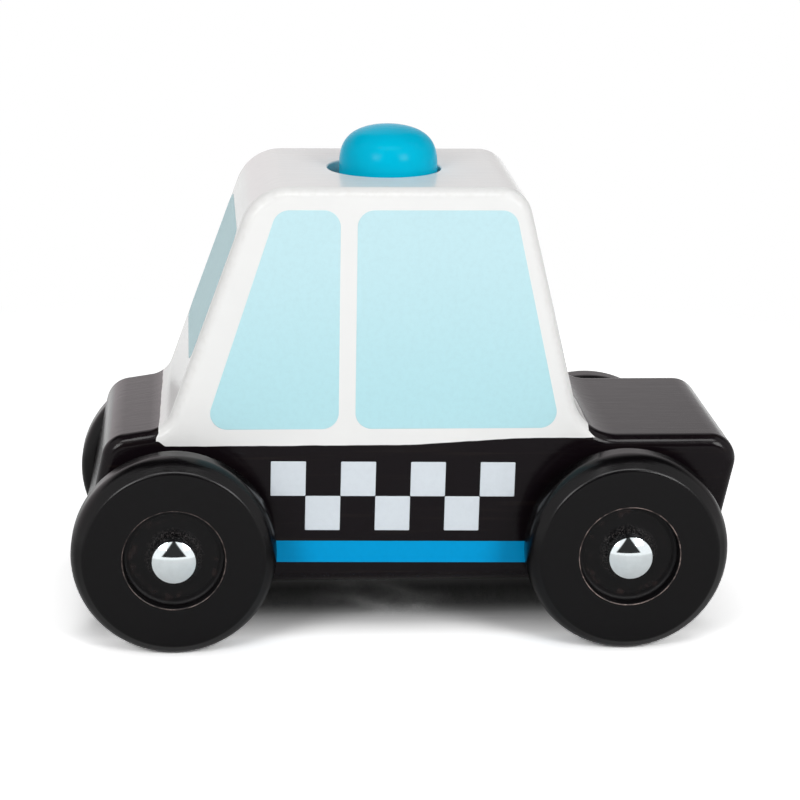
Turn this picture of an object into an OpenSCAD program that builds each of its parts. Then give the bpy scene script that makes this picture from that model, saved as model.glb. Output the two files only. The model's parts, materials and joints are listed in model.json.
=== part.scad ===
// Wooden toy police car: a painted body on two steel axles, four turned wheels,
// and a sprung siren button in the roof that blows a squeaker inside the cab.
// Millimetres, +X forward, +Z up, the floor at z = 0.

/* [Body] */
// Thickness of the wooden body from side to side
body_w = 44.4; // [40:0.2:56]
// Height of the underside above the floor
underside_z = 10.4; // [6:0.2:12]
// Height of the bonnet and of the tail above the floor
deck_z = 38.75; // [38:0.25:46]
// Height of the roof above the floor
roof_z = 85.6; // [80:0.1:96]
// Radius of the rounded edges along both sides
edge_r = 1.3; // [0.8:0.1:2.4]
// Nose of the bonnet, ahead of the middle of the wheelbase
nose_reach = 64.6; // [60:0.1:72]
// Tail of the boot, behind the middle of the wheelbase
tail_reach = 54.6; // [53:0.1:66]
// Forward lean of both end faces in degrees
end_lean = 11.6; // [0:0.1:14]
// Corner radius at the top of the nose and the tail
end_r = 5; // [2.6:0.1:6]
// Corner radius under the nose and the tail
under_r = 3; // [2.6:0.1:6]

/* [Cab] */
// Foot of the windscreen, ahead of the middle of the wheelbase
windscreen_foot = 34.2; // [32:0.2:40]
// Lean of the windscreen from upright in degrees
windscreen_lean = 14.1; // [8:0.1:17]
// Foot of the rear window, behind the middle of the wheelbase
rear_foot = 43.5; // [40:0.1:45]
// Rise of the boot from the tail to the rear window in degrees
boot_slope = 9; // [0:0.5:12]
// Lean of the rear window from upright in degrees
rear_lean = 19.8; // [8:0.1:22]
// Roof corner radius above the windscreen
roof_front_r = 6; // [3:0.1:8]
// Roof corner radius above the rear window
roof_rear_r = 9; // [3:0.1:12]
// Hollow radius where the bonnet meets the windscreen
bonnet_hollow_r = 8.5; // [3:0.1:12]
// Hollow radius where the boot meets the rear window
boot_hollow_r = 5; // [3:0.1:8]
// Depth of the cab's seat below the deck
seat_depth = 0.7; // [0.5:0.1:3]
// Reach of the cab's seat ahead of the windscreen's foot
seat_ahead = 2; // [0.5:0.1:4]
// Reach of the cab's seat behind the rear window's foot
seat_behind = 0.7; // [0.1:0.1:3]
// Diameter of the dowels that hold the cab
dowel_d = 8; // [5:0.5:10]
// Depth of each dowel in the cab and in the chassis
dowel_depth = 10; // [6:0.5:13]
// Distance of each dowel from its end of the cab's seat
dowel_inset = 13; // [11:0.5:15]

/* [Wheels and axles] */
// Distance between the axles
wheelbase = 84; // [78:0.5:92]
// Diameter of the wheels
wheel_d = 37.8; // [34:0.2:44]
// Thickness of the wheels
wheel_t = 9; // [8:0.2:14]
// Radius of the tread's rear edge
wheel_edge_r = 2.5; // [1:0.1:3.2]
// How much smaller the wheel's face is than its crowned tread, in radius
crown_w = 2.3; // [1.5:0.1:3.5]
// Depth behind the face where the crown's slope would meet the tread
crown_depth = 2.3; // [1.5:0.1:3.2]
// Diameter of the recess in the wheel's face
recess_d = 18.5; // [13:0.5:24]
// Depth of the recess in the wheel's face
recess_depth = 2.6; // [1.5:0.1:4]
// Gap between the body's side and the wheel
wheel_gap = 2.1; // [1.2:0.1:5]
// Diameter of the steel axles
axle_d = 4; // [3:0.1:5]
// Diameter of the domed axle caps
cap_d = 8.1; // [7:0.1:11]
// Straight side of the caps beyond the wheel's face
cap_side = 0.9; // [0.8:0.1:2.4]
// Height of the cap's shallow dome above that side
cap_dome = 1.1; // [0.8:0.1:2]
// Diameter of the washers behind the wheels
spacer_d = 10; // [7:0.5:14]

/* [Siren button] */
// Centre of the roof hole, ahead of the middle of the wheelbase
hole_ahead = -2.2; // [-6:0.1:2]
// Diameter of the roof hole
hole_d = 21.4; // [20.6:0.1:22.4]
// Diameter of the button
button_d = 18.6; // [16:0.1:19]
// Height of the dome above the roof
button_h = 7.8; // [6:0.1:12]
// How far the loose button sits forward of the hole's centre
button_forward = 0.8; // [0:0.05:1]
// Travel of the button when it is pressed
button_travel = 5; // [3:0.5:7]
// Thickness of the roof round the hole
roof_t = 7.5; // [6:0.5:12]
// Diameter of the bore below the roof
bore_d = 28; // [27:0.5:32]
// Thickness of the button's flange
flange_t = 3; // [2:0.5:5]
// Diameter of the stem that presses the squeaker
stem_d = 11; // [6:0.5:14]

/* [Squeaker] */
// Height of the bellows
bellows_h = 28; // [20:0.5:30]
// Number of folds in the bellows
bellows_folds = 6; // [4:1:8]
// Wall of the bellows
bellows_wall = 0.9; // [0.6:0.1:1.2]
// Depth of the squeaker's pocket in the chassis
pocket_depth = 6; // [4:0.5:9]
// Thickness of the reed plate
reed_t = 3; // [2:0.5:4]
// Outer diameter of the reed's pipe
pipe_d = 5.6; // [4:0.1:8]
// Length of the reed's pipe
pipe_l = 8; // [4:0.5:10]
// Wire of the return spring
spring_wire = 1; // [0.6:0.1:1.2]
// Turns of the return spring
spring_turns = 7; // [5:1:9]

/* [Prints] */
// Thickness of the printed film
print_t = 0.15; // [0.1:0.01:0.19]
// Drop of the side windows' top edge below the roof
window_drop = 3.9; // [3:0.1:8]
// Rise of the side windows' lower edge above the cab's seat
window_rise = 2.5; // [1:0.1:6]
// Centre of the pillar between the side windows, ahead of the middle of the wheelbase
pillar_ahead = -10; // [-14:0.1:-4]
// Width of that pillar
pillar_w = 3.1; // [1:0.1:6]
// Foot of the front side window behind the windscreen's foot
front_window_inset = 4.4; // [3:0.1:8]
// Lean of the front side window's front edge in degrees
front_window_lean = 12.9; // [8:0.1:16]
// Foot of the rear side window ahead of the rear window's foot
rear_window_inset = 7.1; // [4:0.1:11]
// Lean of the rear side window's rear edge in degrees
rear_window_lean = 17.9; // [8:0.1:21]
// Corner radius of the windows
window_r = 3.1; // [1:0.1:4]
// Lower edge of the windscreen and the rear window above their foot, along the slope
end_window_rise = 13; // [10:0.5:18]
// Height of the windscreen and the rear window along the slope
end_window_h = 26; // [16:0.5:28]
// Margin beside the windscreen and the rear window
end_window_margin = 3; // [2.5:0.1:8]
// Width of one check
check_w = 6.52; // [5:0.01:8]
// Height of one check
check_h = 6.68; // [5:0.01:7]
// Columns of checks
check_columns = 7; // [3:1:7]
// Middle of the checks, ahead of the middle of the wheelbase
check_ahead = -1.3; // [-4:0.1:4]
// Drop of the checks below the cab's seat
check_drop = 3.9; // [2:0.1:4.2]
// Height of the stripe
stripe_h = 4.2; // [2:0.1:5]
// Gap between the checks and the stripe
stripe_gap = 2.1; // [1:0.1:2.6]
// Distance of the stripe's ends from the axles
stripe_end = 9; // [8:0.5:14]
// Nose-down tilt of the checks and the stripe in degrees
print_tilt = 0.65; // [0:0.05:1]

/* [Hidden] */
// Overrun of every cut beyond the face that it leaves
overrun = 1;
// Radial clearance of a wheel or washer on its axle
running_fit = 0.08;
// Radial clearance of the axles in the body and in their caps
push_fit = 0.02;
// Radial clearance of the dowels, filled by glue
dowel_fit = 0.05;
// Room beyond each dowel's end
dowel_end_room = 0.5;
// Play of a washer or a cap beside the wheel
side_play = 0.2;
// Room beyond the axle's end inside its cap
cap_end_room = 0.2;
// Reach of the axle beyond the wheel's face
axle_into_cap = 0.6;
// Rounding between the wheel's face and its crown
face_edge_r = 1.1;
// Share of its room that the crown's curve takes
crown_fill = 0.57;
// Rounding of the recess's rim
recess_rim_r = 0.5;
// Play between the button and what stops or carries it
button_play = 0.2;
// Radial room of the flange in its bore
flange_room = 1.4;
// Radial room of the reed plate in its pocket
reed_room = 0.2;
// Radial room of the pipe in the sound hole
pipe_room = 0.3;
// Wall of the reed's pipe
pipe_wall = 1.1;
// Radial gaps beside the return spring
spring_gap = 0.7;
// Depth of one fold of the bellows
fold_depth = 2;
// Thickness of the bellows' top
bellows_top_t = 1.2;
// Gap that keeps the checks' corners apart
check_corner_gap = 0.06;
// Squareness of the button's dome, where 2 is an ellipse
dome_power = 2.8;
// Segments of each rounded corner, each rounded edge and each dome
arc_steps = 8;
edge_steps = 4;
dome_steps = 16;
// Points round the spring's wire and rings in each of its turns
wire_sides = 6;
turn_rings = 16;
$fn = 64;

white = "#f3f3f1";
black = "#1e1c20";
blue = "#0aa0d8";
window_blue = "#c3e7ee";
check_white = "#dbe1e8";
steel = "#b9bcc0";
chrome = "#dfe3e8";
nylon = "#e9e6da";
beech = "#d8b78a";
rubber = "#c9403a";
horn = "#f0efe6";

// Unit vector along v
function unit(v) = v / norm(v);

// Angle folded into the half turn either way
function folded(a) = a > 180 ? a - 360 : a < -180 ? a + 360 : a;

// Arc of radius r that rounds corner p between its neighbours a and b on a counterclockwise
// outline: a list of [point, outward normal]
function corner_arc(a, p, b, r) =
    let (
        back = unit(a - p),
        on = unit(b - p),
        half = acos(back * on) / 2,
        centre = p + unit(back + on) * r / sin(half),
        outward = sign(cross(p - a, b - p)),
        first = p + back * r / tan(half) - centre,
        last = p + on * r / tan(half) - centre,
        from = atan2(first.y, first.x),
        sweep = folded(atan2(last.y, last.x) - from)
    )
    [for (k = [0:arc_steps])
        let (d = [cos(from + sweep * k / arc_steps), sin(from + sweep * k / arc_steps)])
        [centre + r * d, outward * d]];

// Rounded outline through corners [x, z, radius], as [point, outward normal] pairs
function rounded(corners) =
    let (n = len(corners), at = [for (c = corners) [c[0], c[1]]])
    [for (i = [0:n - 1]) each corner_arc(at[(i + n - 1) % n], at[i], at[(i + 1) % n], corners[i][2])];

// Points of such an outline
function points_of(outline) = [for (q = outline) q[0]];

// Triangles over a stack of rings of n points, with both ends closed by fans from two last points
function ring_faces(rings, n) =
    let (last = (rings - 1) * n, first_middle = rings * n, last_middle = rings * n + 1)
    [for (p = [0:n - 1])
        let (q = (p + 1) % n)
        each concat(
            [[first_middle, p, q], [last_middle, last + q, last + p]],
            [for (r = [0:rings - 2])
                each [
                    [r * n + p, (r + 1) * n + p, (r + 1) * n + q],
                    [r * n + p, (r + 1) * n + q, r * n + q]
                ]]
        )];

// Body outline about the middle of the wheelbase, seen from the right side
lean_run = (deck_z - underside_z) * tan(end_lean);
boot_foot_z = deck_z + (tail_reach - rear_foot) * tan(boot_slope);
body_corners = [
    [-tail_reach - lean_run, underside_z, under_r],
    [nose_reach - lean_run, underside_z, under_r],
    [nose_reach, deck_z, end_r],
    [windscreen_foot, deck_z, bonnet_hollow_r],
    [windscreen_foot - (roof_z - deck_z) * tan(windscreen_lean), roof_z, roof_front_r],
    [-rear_foot + (roof_z - boot_foot_z) * tan(rear_lean), roof_z, roof_rear_r],
    [-rear_foot, boot_foot_z, boot_hollow_r],
    [-tail_reach, deck_z, end_r]
];
centred_outline = rounded(body_corners);

// Middle of the wheelbase, placed so that the car's box is centred on the origin
wheel_r = wheel_d / 2;
wheel_reach = wheelbase / 2 + wheel_r;
outline_x = [for (p = points_of(centred_outline)) p.x];
mid_x = (max(-min(outline_x), wheel_reach) - max(max(outline_x), wheel_reach)) / 2;
body_outline = [for (q = centred_outline) [q[0] + [mid_x, 0], q[1]]];

// Cab seat and dowels
seat_z = deck_z - seat_depth;
seat_front_x = mid_x + windscreen_foot + seat_ahead;
seat_rear_x = mid_x - rear_foot - seat_behind;
dowel_xs = [seat_rear_x + dowel_inset, seat_front_x - dowel_inset];

// Axles, wheels and caps, measured outward from the middle of the car
axle_xs = [mid_x - wheelbase / 2, mid_x + wheelbase / 2];
wheel_back_y = body_w / 2 + wheel_gap;
wheel_face_y = wheel_back_y + wheel_t;
axle_end_y = wheel_face_y + axle_into_cap;
cap_base_y = wheel_face_y - recess_depth + side_play;

// Button, spring and squeaker, all on the axis of the button
hole_x = mid_x + hole_ahead;
push_x = hole_x + button_forward;
shoulder_z = roof_z - roof_t;
flange_top_z = shoulder_z - button_play;
flange_base_z = flange_top_z - flange_t;
flange_r = bore_d / 2 - flange_room;
pocket_r = bore_d / 2;
reed_base_z = seat_z - pocket_depth;
reed_top_z = reed_base_z + reed_t;
bellows_top_z = reed_top_z + bellows_h;
spring_r = flange_r - spring_wire / 2 - spring_gap;
bellows_r = spring_r - spring_wire / 2 - spring_gap;

// Prints
side_y = body_w / 2;
window_top_z = roof_z - window_drop;
window_foot_z = seat_z + window_rise;
check_top_z = seat_z - check_drop;
stripe_top_z = check_top_z - 2 * check_h - stripe_gap;

// Slab of width w across the car with the given side outline and its edges rounded by r. Every
// point of the outline is in straight sight of its middle.
module rounded_slab(outline, middle, w, r) {
    steps = [for (k = [0:edge_steps]) 90 * k / edge_steps];
    half = [for (a = steps) [w / 2 - r * (1 - cos(a)), r * (1 - sin(a))]];
    across = concat(half, [for (k = [edge_steps:-1:0]) [-half[k][0], half[k][1]]]);
    points = [for (ring = across, q = outline)
        let (p = q[0] - ring[1] * q[1])
        [p.x, ring[0], p.y]];
    middles = [for (side = [1, -1]) [middle.x, side * w / 2, middle.y]];
    polyhedron(concat(points, middles), ring_faces(len(across), len(outline)), convexity = 6);
}

// The wooden blank that the chassis and the cab share
module body_blank() {
    rounded_slab(body_outline, [mid_x, (underside_z + deck_z) / 2], body_w, edge_r);
}

// Space of the cab above its seat
module cab_space() {
    translate([seat_rear_x, -body_w / 2 - overrun, seat_z])
        cube([seat_front_x - seat_rear_x, body_w + 2 * overrun, roof_z - seat_z + overrun]);
}

// Upright round bar from z = low to z = high
module upright(x, d, low, high) {
    translate([x, 0, low])
        cylinder(d = d, h = high - low);
}

// Round bar across the car at an axle, from y = -reach to y = reach
module across_car(x, d, reach) {
    translate([x, -reach, wheel_r])
        rotate([-90, 0, 0])
            cylinder(d = d, h = 2 * reach);
}

// Sockets of both dowels
module dowel_sockets() {
    for (x = dowel_xs)
        upright(x, dowel_d + 2 * dowel_fit, seat_z - dowel_depth, seat_z + dowel_depth);
}

// Shape drawn outward along +Z from the axle's middle, turned to one side of the car
module at_axle(x, side) {
    translate([x, 0, wheel_r])
        rotate([-90 * side, 0, 0])
            children();
}

// Black lower body with bonnet and boot
module chassis_block() {
    color(black)
        difference() {
            body_blank();
            cab_space();
            for (x = axle_xs)
                across_car(x, axle_d + 2 * push_fit, side_y + overrun);
            dowel_sockets();
            upright(push_x, 2 * pocket_r, reed_base_z, seat_z + overrun);
            upright(push_x, pipe_d + 2 * pipe_room, underside_z - overrun, reed_base_z + overrun);
        }
}

// White cab with its roof hole and the bore below it
module cab_block() {
    color(white)
        difference() {
            intersection() {
                body_blank();
                cab_space();
            }
            upright(hole_x, hole_d, shoulder_z - overrun, roof_z + overrun);
            upright(hole_x, bore_d, seat_z - overrun, shoulder_z);
            dowel_sockets();
        }
}

// Glued dowels between the cab and the chassis
module cab_dowels() {
    color(beech)
        for (x = dowel_xs)
            upright(x, dowel_d, seat_z - dowel_depth + dowel_end_room, seat_z + dowel_depth - dowel_end_room);
}

// Steel axle through the chassis
module axle(x) {
    color(steel)
        across_car(x, axle_d, axle_end_y);
}

// Turned wheel: a face with a recess, a crowned tread and a plain back
module wheel(x, side) {
    bore_r = axle_d / 2 + running_fit;
    recess_r = recess_d / 2;
    floor_y = wheel_face_y - recess_depth;
    at = [
        [bore_r, wheel_back_y], [wheel_r, wheel_back_y],
        [wheel_r, wheel_face_y - crown_depth], [wheel_r - crown_w, wheel_face_y],
        [recess_r, wheel_face_y], [recess_r, floor_y], [bore_r, floor_y]
    ];
    turn = atan(crown_w / crown_depth);
    slope_room = norm([crown_w, crown_depth]) - face_edge_r * tan(45 - turn / 2);
    tread_room = wheel_t - crown_depth - wheel_edge_r;
    crown_r = crown_fill * min(slope_room, tread_room) / tan(turn / 2);
    radii = [wheel_edge_r, crown_r, face_edge_r, recess_rim_r, recess_rim_r];
    arcs = [for (k = [1:len(radii)]) each corner_arc(at[k - 1], at[k], at[k + 1], radii[k - 1])];
    profile = concat([at[0]], points_of(arcs), [at[len(at) - 1]]);
    color(black)
        at_axle(x, side)
            rotate_extrude()
                polygon(profile);
}

// Domed cap pushed on the axle's end
module axle_cap(x, side) {
    cap_r = cap_d / 2;
    bore_r = axle_d / 2 + push_fit;
    bore_end_y = axle_end_y + cap_end_room;
    ball_r = (pow(cap_r, 2) + pow(cap_dome, 2)) / (2 * cap_dome);
    rim_angle = asin(cap_r / ball_r);
    ball_y = wheel_face_y + cap_side + cap_dome - ball_r;
    dome = [for (k = [0:dome_steps])
        let (a = rim_angle * (1 - k / dome_steps))
        [ball_r * sin(a), ball_y + ball_r * cos(a)]];
    profile = concat([[bore_r, cap_base_y], [cap_r, cap_base_y]], dome, [[0, bore_end_y], [bore_r, bore_end_y]]);
    color(chrome)
        at_axle(x, side)
            rotate_extrude()
                polygon(profile);
}

// Washers between the body and the wheels
module wheel_spacers() {
    color(nylon)
        for (x = axle_xs, side = [-1, 1])
            at_axle(x, side)
                translate([0, 0, side_y + side_play])
                    difference() {
                        cylinder(d = spacer_d, h = wheel_gap - 2 * side_play);
                        translate([0, 0, -overrun])
                            cylinder(d = axle_d + 2 * running_fit, h = wheel_gap + 2 * overrun);
                    }
}

// Blue dome with the neck, flange and stem below it
module siren_button() {
    button_r = button_d / 2;
    stem_r = stem_d / 2;
    dome = [for (k = [0:dome_steps])
        let (a = 90 * k / dome_steps)
        [button_r * pow(cos(a), 2 / dome_power), roof_z + button_h * pow(sin(a), 2 / dome_power)]];
    profile = concat(
        [
            [0, bellows_top_z + button_play],
            [stem_r, bellows_top_z + button_play],
            [stem_r, flange_base_z],
            [flange_r, flange_base_z],
            [flange_r, flange_top_z],
            [button_r, flange_top_z]
        ],
        dome
    );
    color(blue)
        translate([push_x, 0, 0])
            rotate_extrude()
                polygon(profile);
}

// Coil spring that lifts the button off the reed plate
module return_spring() {
    wire_r = spring_wire / 2;
    low_z = reed_top_z + wire_r;
    rise = flange_base_z - button_play - wire_r - low_z;
    last = spring_turns * turn_rings;
    function at(k, out, up) =
        let (turn = 360 * k / turn_rings)
        [out * cos(turn), out * sin(turn), low_z + rise * k / last + up];
    points = [for (k = [last:-1:0], s = [0:wire_sides - 1])
        let (a = 360 * s / wire_sides)
        at(k, spring_r + wire_r * cos(a), wire_r * sin(a))];
    middles = [for (k = [last, 0]) at(k, spring_r, 0)];
    color(steel)
        translate([push_x, 0, 0])
            polyhedron(concat(points, middles), ring_faces(last + 1, wire_sides), convexity = 10);
}

// Bellows of the squeaker, open below
module squeaker_bellows() {
    fold_h = (bellows_h - bellows_top_t) / bellows_folds;
    outer = [for (k = [0:2 * bellows_folds])
        [bellows_r - (k % 2 == 0 ? fold_depth : 0), reed_top_z + k * fold_h / 2]];
    inner = [for (k = [2 * bellows_folds:-1:0]) outer[k] - [bellows_wall, 0]];
    top_r = bellows_r - fold_depth;
    profile = concat(outer, [[top_r, bellows_top_z], [0, bellows_top_z]], [[0, bellows_top_z - bellows_top_t]], inner);
    color(rubber)
        translate([push_x, 0, 0])
            rotate_extrude()
                polygon(profile);
}

// Reed plate under the bellows with its pipe in the sound hole
module squeaker_reed() {
    color(horn)
        difference() {
            union() {
                upright(push_x, 2 * (pocket_r - reed_room), reed_base_z, reed_top_z);
                upright(push_x, pipe_d, reed_base_z - pipe_l, reed_base_z + overrun);
            }
            upright(push_x, pipe_d - 2 * pipe_wall, reed_base_z - pipe_l - overrun, reed_top_z + overrun);
        }
}

// Film on the right side of the body, drawn in x and z
module right_film() {
    translate([0, -side_y, 0])
        rotate([90, 0, 0])
            linear_extrude(print_t)
                children();
}

// Film on the left side of the body, drawn in x and z
module left_film() {
    translate([0, side_y + print_t, 0])
        rotate([90, 0, 0])
            linear_extrude(print_t)
                children();
}

// Window outline with rounded corners
module window(corners) {
    polygon(points_of(rounded([for (c = corners) [c.x, c.y, window_r]])));
}

// Both windows of one side
module side_windows() {
    height = window_top_z - window_foot_z;
    pillar_x = mid_x + pillar_ahead;
    front_x = mid_x + windscreen_foot - front_window_inset;
    rear_x = mid_x - rear_foot + rear_window_inset;
    color(window_blue) {
        window([
            [pillar_x + pillar_w / 2, window_foot_z],
            [front_x, window_foot_z],
            [front_x - height * tan(front_window_lean), window_top_z],
            [pillar_x + pillar_w / 2, window_top_z]
        ]);
        window([
            [rear_x, window_foot_z],
            [pillar_x - pillar_w / 2, window_foot_z],
            [pillar_x - pillar_w / 2, window_top_z],
            [rear_x + height * tan(rear_window_lean), window_top_z]
        ]);
    }
}

// Window of one end, drawn across the car and up the slope from its foot
module end_window() {
    half_w = side_y - end_window_margin;
    window([
        [-half_w, end_window_rise],
        [half_w, end_window_rise],
        [half_w, end_window_rise + end_window_h],
        [-half_w, end_window_rise + end_window_h]
    ]);
}

// Printed windscreen on the front slope of the cab
module windscreen_print() {
    color(window_blue)
        translate([mid_x + windscreen_foot, 0, deck_z])
            rotate([0, -windscreen_lean, 0])
                rotate([90, 0, 90])
                    linear_extrude(print_t)
                        end_window();
}

// Printed window on the rear slope of the cab
module rear_window_print() {
    color(window_blue)
        translate([mid_x - rear_foot, 0, boot_foot_z])
            rotate([0, rear_lean, 0])
                translate([-print_t, 0, 0])
                    rotate([90, 0, 90])
                        linear_extrude(print_t)
                            end_window();
}

// Turn of the lower prints about the middle of the checks
module tilted() {
    middle = [mid_x + check_ahead, check_top_z - check_h];
    translate(middle)
        rotate(-print_tilt)
            translate(-middle)
                children();
}

// Two staggered rows of checks
module checks() {
    first_x = mid_x + check_ahead - check_columns * check_w / 2;
    color(check_white)
        tilted()
            for (column = [0:check_columns - 1])
                translate([
                    first_x + column * check_w + check_corner_gap,
                    check_top_z - (1 + column % 2) * check_h + check_corner_gap
                ])
                    square([check_w - 2 * check_corner_gap, check_h - 2 * check_corner_gap]);
}

// Stripe between the axles
module stripe() {
    length = wheelbase - 2 * stripe_end;
    color(blue)
        tilted()
            translate([mid_x - length / 2, stripe_top_z - stripe_h])
                square([length, stripe_h]);
}

chassis_block();
cab_block();
cab_dowels();
axle(axle_xs[1]);  // front_axle
axle(axle_xs[0]);  // rear_axle
wheel(axle_xs[1], -1);  // front_right_wheel
wheel(axle_xs[1], 1);  // front_left_wheel
wheel(axle_xs[0], -1);  // rear_right_wheel
wheel(axle_xs[0], 1);  // rear_left_wheel
axle_cap(axle_xs[1], -1);  // front_right_axle_cap
axle_cap(axle_xs[1], 1);  // front_left_axle_cap
axle_cap(axle_xs[0], -1);  // rear_right_axle_cap
axle_cap(axle_xs[0], 1);  // rear_left_axle_cap
wheel_spacers();
siren_button();
return_spring();
squeaker_bellows();
squeaker_reed();
right_film() side_windows();  // right_window_prints
left_film() side_windows();  // left_window_prints
windscreen_print();
rear_window_print();
right_film() checks();  // right_check_prints
left_film() checks();  // left_check_prints
right_film() stripe();  // right_stripe_print
left_film() stripe();  // left_stripe_print
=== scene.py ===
"""Wooden toy police car: lacquered body, turned wheels, siren button and printed windows.

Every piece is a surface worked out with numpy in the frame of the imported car, in metres, with +X
towards the bonnet, +Y towards the car's left side and the floor at z = 0.
"""

import json
import math

import bmesh
import bpy
import numpy as np
from bpy.props import FloatProperty, FloatVectorProperty, IntProperty, PointerProperty
from mathutils import Matrix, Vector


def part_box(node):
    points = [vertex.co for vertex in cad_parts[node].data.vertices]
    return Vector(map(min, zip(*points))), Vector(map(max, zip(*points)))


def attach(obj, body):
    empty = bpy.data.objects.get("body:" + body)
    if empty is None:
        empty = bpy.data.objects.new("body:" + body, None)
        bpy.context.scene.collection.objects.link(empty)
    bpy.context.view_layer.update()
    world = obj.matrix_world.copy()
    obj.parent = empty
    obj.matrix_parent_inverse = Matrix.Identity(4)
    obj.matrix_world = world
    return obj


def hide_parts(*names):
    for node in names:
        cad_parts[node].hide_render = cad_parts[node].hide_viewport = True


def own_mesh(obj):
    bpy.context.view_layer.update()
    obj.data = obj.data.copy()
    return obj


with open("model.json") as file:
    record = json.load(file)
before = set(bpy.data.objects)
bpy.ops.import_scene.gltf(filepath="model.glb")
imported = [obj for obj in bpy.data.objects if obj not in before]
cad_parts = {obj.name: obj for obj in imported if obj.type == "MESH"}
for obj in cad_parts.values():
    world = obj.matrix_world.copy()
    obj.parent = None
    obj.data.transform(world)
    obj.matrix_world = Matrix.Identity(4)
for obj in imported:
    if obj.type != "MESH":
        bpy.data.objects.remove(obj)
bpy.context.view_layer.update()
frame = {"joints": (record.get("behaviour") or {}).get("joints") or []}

bl_info = {
    "name": "Toy police car",
    "version": (1, 0, 0),
    "blender": (4, 5, 0),
    "location": "3D View > Sidebar > Toy car",
    "description": "Builds the lacquered pieces of a wooden toy police car round its packed frame",
    "category": "Object",
}

MM = 0.001
CHASSIS_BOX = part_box("chassis_block")
CAB_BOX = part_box("cab_block")
WHEEL_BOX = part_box("front_left_wheel")
CAP_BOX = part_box("front_left_axle_cap")
BUTTON_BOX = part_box("siren_button")
SPRING_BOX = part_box("return_spring")
BELLOWS_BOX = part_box("squeaker_bellows")
REED_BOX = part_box("squeaker_reed")
AXLE_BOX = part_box("front_axle")
JOINTS = {joint["name"]: joint for joint in frame["joints"]}
FRONT_X, AXLE_Z = JOINTS["front_left_roll"]["pos_m"][0], JOINTS["front_left_roll"]["pos_m"][2]
REAR_X = JOINTS["rear_left_roll"]["pos_m"][0]
MID_X = (FRONT_X + REAR_X) / 2
PUSH_X = (BUTTON_BOX[0].x + BUTTON_BOX[1].x) / 2
ENDS = (("front", FRONT_X), ("rear", REAR_X))
SIDES = (("right", -1), ("left", 1))
CORNERS = [(f"{end}_{hand}", x, side) for end, x in ENDS for hand, side in SIDES]

# How far a cutter passes the faces that it opens
OVERRUN = 2 * MM
# Angles in degrees above which an edge is shaded sharp, on chamfered pieces and on films
CHAMFER_SHARP, FILM_SHARP = 25, 60
# Distance below which points are one
MERGE = 1e-7
# Steps round the holes, rods, washers and discs
HOLE_STEPS, ROD_STEPS, WASHER_STEPS, DISC_STEPS = 48, 64, 80, 96


def half_length(box):
    """Half the length of a box along the car, the radius of a turned piece."""
    return (box[1].x - box[0].x) / 2


def size(words, default):
    """A length in metres that a user may change."""
    note = f"{words}, in metres"
    return FloatProperty(name=words, description=note, default=default, precision=5, unit="LENGTH")


def angle(words, degrees):
    """An angle that a user may change, given in degrees and kept in radians."""
    note = f"{words}, as an angle"
    return FloatProperty(name=words, description=note, default=math.radians(degrees), subtype="ANGLE")


def share(words, default):
    """A plain number that a user may change."""
    return FloatProperty(name=words, description=f"{words}, as a number", default=default, precision=4)


def count(words, default):
    """A whole number that a user may change."""
    return IntProperty(name=words, description=f"{words}, as a whole number", default=default)


def colour(label, words, default):
    """A colour that a user may change."""
    return FloatVectorProperty(
        name=label, description=words, default=default, size=3, min=0, max=1, subtype="COLOR"
    )


class BodySizes(bpy.types.PropertyGroup):
    """Side outline of the wooden body, measured from the middle of the wheelbase."""

    width: size("Thickness of the body", CHASSIS_BOX[1].y - CHASSIS_BOX[0].y)
    underside: size("Height of the underside", CHASSIS_BOX[0].z)
    deck: size("Height of the bonnet and of the tail", 38.75 * MM)
    roof: size("Height of the roof", CAB_BOX[1].z)
    seat: size("Height of the joint between cab and chassis", CAB_BOX[0].z)
    seat_front: size("Front end of the cab's seat", CAB_BOX[1].x)
    seat_rear: size("Rear end of the cab's seat", CAB_BOX[0].x)
    edge: size("Rounding of the long edges", 2.3 * MM)
    nose: size("Reach of the nose", 64.6 * MM)
    tail: size("Reach of the tail", 54.6 * MM)
    end_lean: angle("Forward lean of both end faces", 11.6)
    end_radius: size("Corner radius at the top of the ends", 5 * MM)
    under_radius: size("Corner radius under the ends", 3 * MM)
    windscreen_foot: size("Reach of the windscreen's foot", 34.2 * MM)
    windscreen_lean: angle("Lean of the windscreen", 14.1)
    rear_foot: size("Reach of the rear window's foot", 43.5 * MM)
    rear_lean: angle("Lean of the rear window", 19.8)
    boot_slope: angle("Rise of the boot towards the cab", 9)
    roof_front_radius: size("Roof radius above the windscreen", 6 * MM)
    roof_rear_radius: size("Roof radius above the rear window", 9 * MM)
    bonnet_hollow: size("Hollow radius behind the bonnet", 8.5 * MM)
    boot_hollow: size("Hollow radius ahead of the boot", 5 * MM)
    dowel: size("Diameter of the dowels", 8 * MM)
    arc_steps: count("Steps of each rounded corner", 24)
    edge_steps: count("Steps of each rounded edge", 10)


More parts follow.
